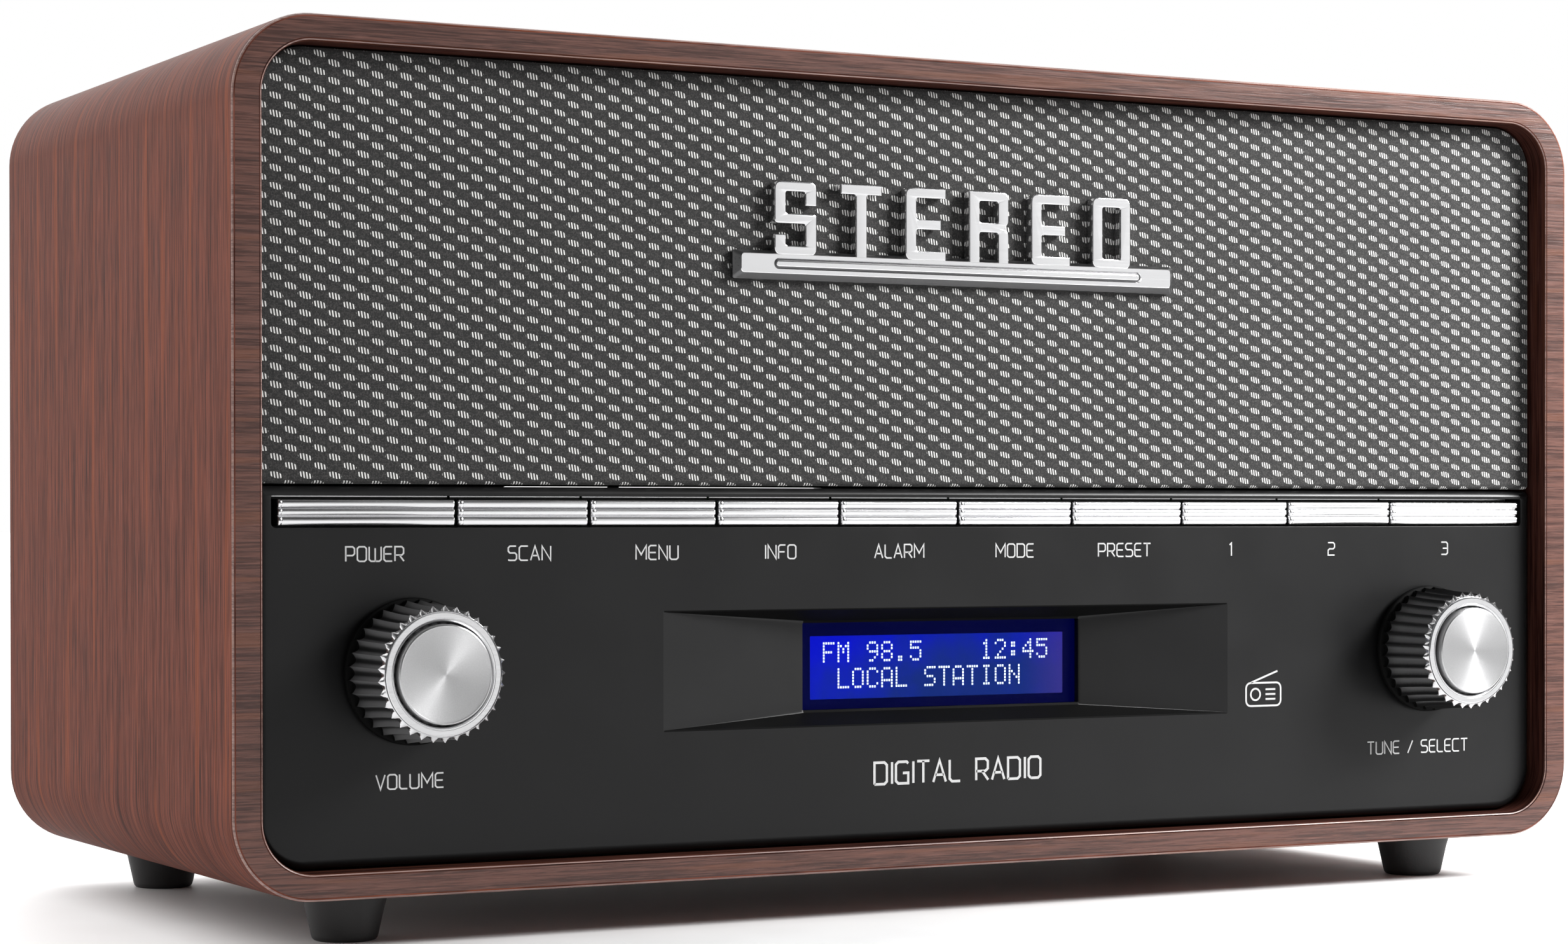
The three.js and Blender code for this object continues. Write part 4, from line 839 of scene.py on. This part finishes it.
STROKES = {
    "A": [[(0, 0), (0.31, 1), (0.62, 0)], [(0.11, 0.33), (0.51, 0.33)]],
    "C": [[(0.6, 0), (0.12, 0), (0, 0.12), (0, 0.88), (0.12, 1), (0.6, 1)]],
    "D": [[(0, 0), (0, 1), (0.48, 1), (0.6, 0.88), (0.6, 0.12), (0.48, 0), (0, 0)]],
    "E": [[(0.55, 0), (0.12, 0), (0, 0.12), (0, 0.88), (0.12, 1), (0.55, 1)], [(0, 0.5), (0.5, 0.5)]],
    "F": [[(0, 0), (0, 0.88), (0.12, 1), (0.52, 1)], [(0, 0.5), (0.46, 0.5)]],
    "G": [[(0.6, 0.92), (0.52, 1), (0.12, 1), (0, 0.88), (0, 0.12), (0.12, 0), (0.6, 0), (0.6, 0.48), (0.34, 0.48)]],
    "H": [[(0, 0), (0, 1)], [(0.6, 0), (0.6, 1)], [(0, 0.5), (0.6, 0.5)]],
    "I": [[(0.06, 0), (0.06, 1)]],
    "L": [[(0, 1), (0, 0.12), (0.12, 0), (0.52, 0)]],
    "M": [[(0, 0), (0, 1), (0.37, 0.35), (0.74, 1), (0.74, 0)]],
    "N": [[(0, 0), (0, 1), (0.6, 0), (0.6, 1)]],
    "O": [[(0.12, 0), (0.48, 0), (0.6, 0.12), (0.6, 0.88), (0.48, 1), (0.12, 1), (0, 0.88), (0, 0.12), (0.12, 0)]],
    "P": [[(0, 0), (0, 1), (0.46, 1), (0.58, 0.88), (0.58, 0.52), (0.46, 0.4), (0, 0.4)]],
    "R": [[(0, 0), (0, 1), (0.46, 1), (0.58, 0.88), (0.58, 0.54), (0.46, 0.42), (0, 0.42)], [(0.3, 0.42), (0.6, 0)]],
    "S": [[(0, 0.06), (0.06, 0), (0.46, 0), (0.58, 0.12), (0.58, 0.4), (0.46, 0.52), (0.12, 0.52), (0, 0.64), (0, 0.88),
           (0.12, 1), (0.54, 1)]],
    "T": [[(0, 1), (0.6, 1)], [(0.3, 1), (0.3, 0)]],
    "U": [[(0, 1), (0, 0.12), (0.12, 0), (0.48, 0), (0.6, 0.12), (0.6, 1)]],
    "V": [[(0, 1), (0.3, 0), (0.6, 1)]],
    "W": [[(0, 1), (0, 0.12), (0.12, 0), (0.4, 0), (0.4, 0.9)], [(0.4, 0), (0.68, 0), (0.8, 0.12), (0.8, 1)]],
    "1": [[(0, 0.86), (0.16, 1), (0.16, 0)]],
    "2": [[(0, 1), (0.46, 1), (0.58, 0.88), (0.58, 0.62), (0.46, 0.5), (0.12, 0.5), (0, 0.38), (0, 0), (0.58, 0)]],
    "3": [[(0, 1), (0.46, 1), (0.58, 0.88), (0.58, 0.12), (0.46, 0), (0, 0)], [(0.14, 0.5), (0.58, 0.5)]],
    "/": [[(0, 0), (0.45, 1)]],
}
GLYPH_GAP = 0.19
GLYPH_STRETCH = 1.1
SPACE = 0.42
LABEL_HEIGHT = 2.85
LABEL_STROKE = 0.3
INK = (PANEL_FACE - 0.03, PANEL_FACE + 0.02)


def glyph_width(letter):
    return SPACE if letter == " " else max(x for line in STROKES[letter] for x, _ in line)


def write(form, text, x, z, height, stroke, ink=INK, hand=1):
    """Centres text on (x, z) as thin raised strokes. hand is -1 for text read from behind."""
    wide = height * GLYPH_STRETCH * hand
    total = sum(glyph_width(c) for c in text) + GLYPH_GAP * (len(text) - 1)
    left = x - total * wide / 2
    for letter in text:
        for line in STROKES.get(letter, []):
            path = [(left + u * wide, z + (v - 0.5) * height) for u, v in line]
            ribbon(form, path, stroke, *ink)
        left += (glyph_width(letter) + GLYPH_GAP) * wide


LABELS = (
    ("POWER", -134.0), ("SCAN", -100.8), ("MENU", -72.2), ("INFO", -43.5), ("ALARM", -14.7), ("MODE", 14.3),
    ("PRESET", 42.9), ("1", 71.5), ("2", 99.7), ("3", 132.5),
)


def make_labels():
    form = Form()
    for text, x in LABELS:
        write(form, text, x, 67.3, LABEL_HEIGHT, LABEL_STROKE)
    write(form, "VOLUME", -126.7, 22.35, LABEL_HEIGHT, LABEL_STROKE)
    write(form, "TUNE / SELECT", 124.7, 21.3, LABEL_HEIGHT, LABEL_STROKE)
    write(form, "DIGITAL RADIO", 0.0, 20.1, 4.6, 0.55)
    icon_x, icon_z = 80.6, 34.5
    ribbon(form, rounded(9.6, icon_z - 2.6, icon_z + 2.6, 1.2, steps=4, centre=icon_x), 0.4, *INK, closed=True)
    ribbon(form, circle(1.3, icon_x - 2.2, icon_z, 24), 0.4, *INK, closed=True)
    for line in (-1.1, 0.0, 1.1):
        ribbon(form, [(icon_x + 0.6, icon_z + line), (icon_x + 3.3, icon_z + line)], 0.4, *INK)
    ribbon(form, [(icon_x - 3.4, icon_z + 2.7), (icon_x + 3.9, icon_z + 5.2)], 0.4, *INK)
    form.build("panel_labels", label_ink)


make_labels()

# ---------- Display ----------

DOT_GLYPHS = {
    "0": ".###. #...# #..## #.#.# ##..# #...# .###.",
    "1": "..#.. .##.. ..#.. ..#.. ..#.. ..#.. .###.",
    "2": ".###. #...# ....# ...#. ..#.. .#... #####",
    "4": "...#. ..##. .#.#. #..#. ##### ...#. ...#.",
    "5": "##### #.... ####. ....# ....# #...# .###.",
    "8": ".###. #...# #...# .###. #...# #...# .###.",
    "9": ".###. #...# #...# .#### ....# ...#. .##..",
    ".": "..... ..... ..... ..... ..... .##.. .##..",
    ":": "..... .##.. .##.. ..... .##.. .##.. .....",
    "A": ".###. #...# #...# #...# ##### #...# #...#",
    "C": ".###. #...# #.... #.... #.... #...# .###.",
    "F": "##### #.... #.... ####. #.... #.... #....",
    "I": ".###. ..#.. ..#.. ..#.. ..#.. ..#.. .###.",
    "L": "#.... #.... #.... #.... #.... #.... #####",
    "M": "#...# ##.## #.#.# #.#.# #...# #...# #...#",
    "N": "#...# #...# ##..# #.#.# #..## #...# #...#",
    "O": ".###. #...# #...# #...# #...# #...# .###.",
    "S": ".#### #.... #.... .###. ....# ....# ####.",
    "T": "##### ..#.. ..#.. ..#.. ..#.. ..#.. ..#..",
}
DISPLAY_LINES = ("FM 98.5    12:45", " LOCAL STATION")
CHARACTER_PITCH = 3.59
ROW_PITCH = 5.6
DOT_PITCH_X, DOT_PITCH_Z = 0.6, 0.64
TEXT_LEFT, TEXT_TOP = -28.8, 47.4
glass_low, glass_high = box_mm("display_glass")


def make_display():
    glass = Form()
    outline = lambda inset: rounded(glass_high.x - glass_low.x, glass_low.z, glass_high.z, 0.5, inset=inset, steps=3)
    lit = lambda inset: rounded(64.0, LIT_LOW, LIT_HIGH, 0.3, inset=inset, steps=3)
    face = glass_low.y
    outer = glass.skin([at(outline(0.2), face), at(outline(0), face + 0.2), at(outline(0), glass_high.y)], 1, ends=False)
    step = glass.skin([at(lit(0), face), at(lit(0.1), face + 0.1)], 1, ends=False)
    glass.fill(outer[0], [step[0]], 1)
    glass.fill(step[1], finish=0)
    glass.fill(outer[-1], finish=1)
    glass.build("display_panel", [display_blue, display_edge], stands_for="display_glass")
    dots = Form()
    for row, line in enumerate(DISPLAY_LINES):
        for column, letter in enumerate(line):
            for down, cells in enumerate(DOT_GLYPHS.get(letter, "").split()):
                for across, cell in enumerate(cells):
                    if cell != "#":
                        continue
                    x = TEXT_LEFT + column * CHARACTER_PITCH + across * DOT_PITCH_X
                    z = TEXT_TOP - row * ROW_PITCH - down * DOT_PITCH_Z
                    square = [(x, z), (x + 0.36, z), (x + 0.36, z + 0.46), (x, z + 0.46)]
                    dots.skin([at(square, face - 0.06), at(square, face + 0.02)])
    dots.build("display_text", lit_dot)
    window = Form()
    low, high = box_mm("display_window")
    softened_block(window, low, high, 0.1)
    window.build("display_lens", acrylic, stands_for="display_window")


make_display()

# ---------- Feet ----------


def make_foot(name):
    low, high = box_mm(f"foot_{name}")
    centre = ((low.x + high.x) / 2, (low.y + high.y) / 2, 0)
    form = Form()
    profile = [(2.0, high.z), (8.55, high.z), (8.8, high.z - 0.25), (8.0, -3.2), (6.75, low.z + 1.1), (6.55, low.z + 0.5),
               (6.2, low.z + 0.12), (5.8, low.z), (3.9, low.z), (3.6, low.z + 0.3), (3.6, low.z + 4), (2.0, low.z + 4)]
    turned(form, profile, axis="Z", centre=centre, steps=64, loop=True)
    form.build(f"rubber_foot_{name}", rubber, stands_for=f"foot_{name}")


for corner_name in ("front_left", "front_right", "rear_left", "rear_right"):
    make_foot(corner_name)

# ---------- Rear panel and its fittings ----------

rear_low, rear_high = box_mm("rear_panel")
DC_X, JACKS_X, JACK_SPACING, SOCKET_Z = -52.0, -12.0, 16.0, 28.0
SCREW_INSET = 13.5
AERIAL_X, AERIAL_Z = 134.0, 146.0


def make_rear_panel():
    form = Form()
    quarter = [(0.8 * inset, 0.8 * setback) for inset, setback in arc(3)]
    outline = lambda inset: rounded(FIT_WIDTH, rear_low.z, rear_high.z, FIT_RADIUS, inset=inset, steps=12)
    outer = form.skin([at(outline(inset), rear_high.y - setback) for inset, setback in quarter] + [at(outline(0), rear_low.y)], ends=False)
    shapes = [lambda grow, z=74 + 6 * i: rounded(90, z, z + 2.4, 1.1, inset=-grow, steps=4) for i in range(9)]
    for x, z, radius in ((DC_X, SOCKET_Z, 5.0), (JACKS_X - 8, SOCKET_Z, 4.4), (JACKS_X + 8, SOCKET_Z, 4.4),
                         (AERIAL_X, AERIAL_Z, 3.4)):
        shapes.append(lambda grow, x=x, z=z, radius=radius: circle(radius + grow, x, z, 32))
    for side in (-1, 1):
        for z in (SCREW_INSET, HEIGHT - SCREW_INSET):
            x = side * (WIDTH / 2 - SCREW_INSET)
            shapes.append(lambda grow, x=x, z=z: circle(2.0 + grow, x, z, 24))
    holes = []
    for shape in shapes:
        holes.append(form.skin([at(shape(0.3), rear_high.y), at(shape(0), rear_high.y - 0.3), at(shape(0), rear_low.y)], ends=False))
    form.fill(outer[0], [rings[0] for rings in holes])
    form.fill(outer[-1], [rings[-1] for rings in holes])
    form.build("back_cover", rear_black, stands_for="rear_panel", crease=30)


make_rear_panel()


def make_rear_labels():
    form = Form()
    ink = (rear_high.y - 0.02, rear_high.y + 0.03)
    for text, x in (("DC IN", DC_X), ("LINE IN", JACKS_X - JACK_SPACING / 2), ("PHONES", JACKS_X + JACK_SPACING / 2)):
        write(form, text, x, SOCKET_Z + 10.5, 2.1, 0.3, ink, hand=-1)
    form.build("rear_labels", label_ink)


make_rear_labels()


def make_rear_screw(node):
    """A pan head with a cross recess."""
    low, high = box_mm(node)
    x, z = (low.x + high.x) / 2, (low.z + high.z) / 2
    seat, top = rear_high.y + 0.3, high.y
    form = Form()
    profile = [(0.3, low.y), (1.5, low.y + 2), (1.5, seat), (3.4, seat), (3.6, seat + 0.2), (3.55, seat + 0.75),
               (3.2, seat + 1.25), (2.7, seat + 1.6), (2.2, top - 0.03), (2.05, top)]
    rings = form.skin([at(circle(radius, x, z), y) for radius, y in profile], ends=False)
    cross = []
    for reach, half in ((1.6, 0.42), (1.35, 0.34)):
        arm = [(reach, -half), (reach, half), (half, half)]
        cross.append([(x + u * c - v * s, z + u * s + v * c) for c, s in ((1, 0), (0, 1), (-1, 0), (0, -1)) for u, v in arm])
    recess = form.skin([at(cross[0], top), at(cross[1], top - 1.1)], ends=False)
    form.fill(rings[0])
    form.fill(rings[-1], [recess[0]])
    form.fill(recess[1])
    form.build(f"{node}_head", zinc, stands_for=node)


for node_name in list(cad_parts):
    if node_name.startswith("rear_screw"):
        make_rear_screw(node_name)

# ---------- CAD nodes that keep their own shape ----------

CARRIED = {
    "front_baffle": fibreboard,
    "grille_frame": rear_black,
    "dc_socket": knob_black,
    "audio_jacks": knob_black,
    "aerial_mount": knob_black,
    "aerial_knuckle": aerial_chrome,
    "aerial_sleeve": aerial_chrome,
    "aerial_middle": aerial_chrome,
    "aerial_tip": aerial_chrome,
    "control_board": green_board,
    "display_board": green_board,
    "main_board": green_board,
    "speaker_left_cone": cone_paper,
    "speaker_right_cone": cone_paper,
    "speaker_left_magnet": ferrite,
    "speaker_right_magnet": ferrite,
    "speaker_left_lead": lead_sleeve,
    "speaker_right_lead": lead_sleeve,
}
for node_name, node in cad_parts.items():
    if node.hide_render:
        continue
    node.data.materials.clear()
    node.data.materials.append(CARRIED.get(node_name, zinc))
    node.data.shade_smooth()
    node.data.set_sharp_from_angle(angle=math.radians(30))

# ---------- Floor, light and camera ----------

FLOOR_SIZE = 60.0


def make_floor():
    form = Form()
    half = FLOOR_SIZE / 2 / MM
    level = -SHELL_LOW.z / MM
    square = [(-half, -half), (half, -half), (half, half), (-half, half)]
    corners = [form.ring([(x, y, level + drop) for x, y in square]) for drop in (0, -100)]
    form.bridge(*corners)
    form.fill(corners[0])
    form.fill(corners[1])
    floor_paint = grained("floor", (0.9, 0.9, 0.9), 0.6, grain=40.0, relief=0.0, variation=0.01)
    mesh = bpy.data.meshes.new("floor")
    mesh.from_pydata([(x * MM, y * MM, SHELL_LOW.z + z * MM) for x, y, z in form.points], [], form.faces)
    mesh.materials.append(floor_paint)
    floor = bpy.data.objects.new("floor", mesh)
    scene.collection.objects.link(floor)


make_floor()


def make_world():
    """White all round for the camera; as light, bright overhead and behind and dim in front."""
    world = bpy.data.worlds.new("studio")
    scene.world = world
    world.use_nodes = True
    tree = world.node_tree
    background = tree.nodes["Background"]
    direction = tree.nodes.new("ShaderNodeTexCoord").outputs["Generated"]

    def add(kind, **settings):
        node = tree.nodes.new(kind)
        for key, value in settings.items():
            setattr(node, key, value)
        return node

    total = None
    lobes = (
        ((-0.1, 0.85, 1), 0.5, 1.0, 2.5),
        ((-1, 0.45, 0.6), 0.62, 0.95, 1.65),
        ((0.2, 1, 0.12), 0.3, 0.9, 1.1),
        ((0.66, -0.75, 0.03), 0.89, 0.94, 0.82),
        ((0.87, -0.5, 0.1), 0.80, 0.97, 0.15),
    )
    for axis, low, high, strength in lobes:
        dot = add("ShaderNodeVectorMath", operation="DOT_PRODUCT")
        tree.links.new(direction, dot.inputs[0])
        dot.inputs[1].default_value = Vector(axis).normalized()
        lobe = add("ShaderNodeMapRange", interpolation_type="SMOOTHSTEP")
        tree.links.new(dot.outputs["Value"], lobe.inputs["Value"])
        lobe.inputs["From Min"].default_value = low
        lobe.inputs["From Max"].default_value = high
        lobe.inputs["To Max"].default_value = strength
        if total is None:
            total = lobe.outputs[0]
            continue
        both = add("ShaderNodeMath", operation="ADD")
        tree.links.new(total, both.inputs[0])
        tree.links.new(lobe.outputs[0], both.inputs[1])
        total = both.outputs[0]
    base = add("ShaderNodeMath", operation="ADD")
    tree.links.new(total, base.inputs[0])
    base.inputs[1].default_value = 0.06
    ray = add("ShaderNodeLightPath")
    shown = add("ShaderNodeMix")
    tree.links.new(ray.outputs["Is Camera Ray"], shown.inputs["Factor"])
    tree.links.new(base.outputs[0], shown.inputs[2])
    shown.inputs[3].default_value = 1.0
    tree.links.new(shown.outputs[0], background.inputs["Strength"])
    background.inputs["Color"].default_value = (1, 1, 1, 1)


make_world()


def soft_light(name, place, target, size, power, spread=180):
    lamp = bpy.data.lights.new(name, "AREA")
    lamp.shape = "RECTANGLE"
    lamp.size, lamp.size_y = size
    lamp.energy = power
    lamp.spread = math.radians(spread)
    light = bpy.data.objects.new(name, lamp)
    light.location = place
    light.rotation_euler = (Vector(target) - Vector(place)).to_track_quat("-Z", "Y").to_euler()
    light.visible_camera = False
    scene.collection.objects.link(light)


soft_light("key_softbox", (0.62, -0.44, 0.50), (0.24, -0.07, 0.18), (0.3, 0.3), 2.3, spread=60)

camera_data = bpy.data.cameras.new("camera")
camera_data.lens = 78.9
camera_data.sensor_width = 36
camera_data.shift_y = 0.0477
camera_data.clip_start = 0.01
camera_data.clip_end = 200
camera = bpy.data.objects.new("camera", camera_data)
camera.location = (-0.38386, -0.70270, 0.08330)
camera.rotation_euler = Euler((math.pi / 2 - 0.0069, 0.0009, -0.4945))
scene.collection.objects.link(camera)
scene.camera = camera
scene.view_settings.view_transform = "Standard"
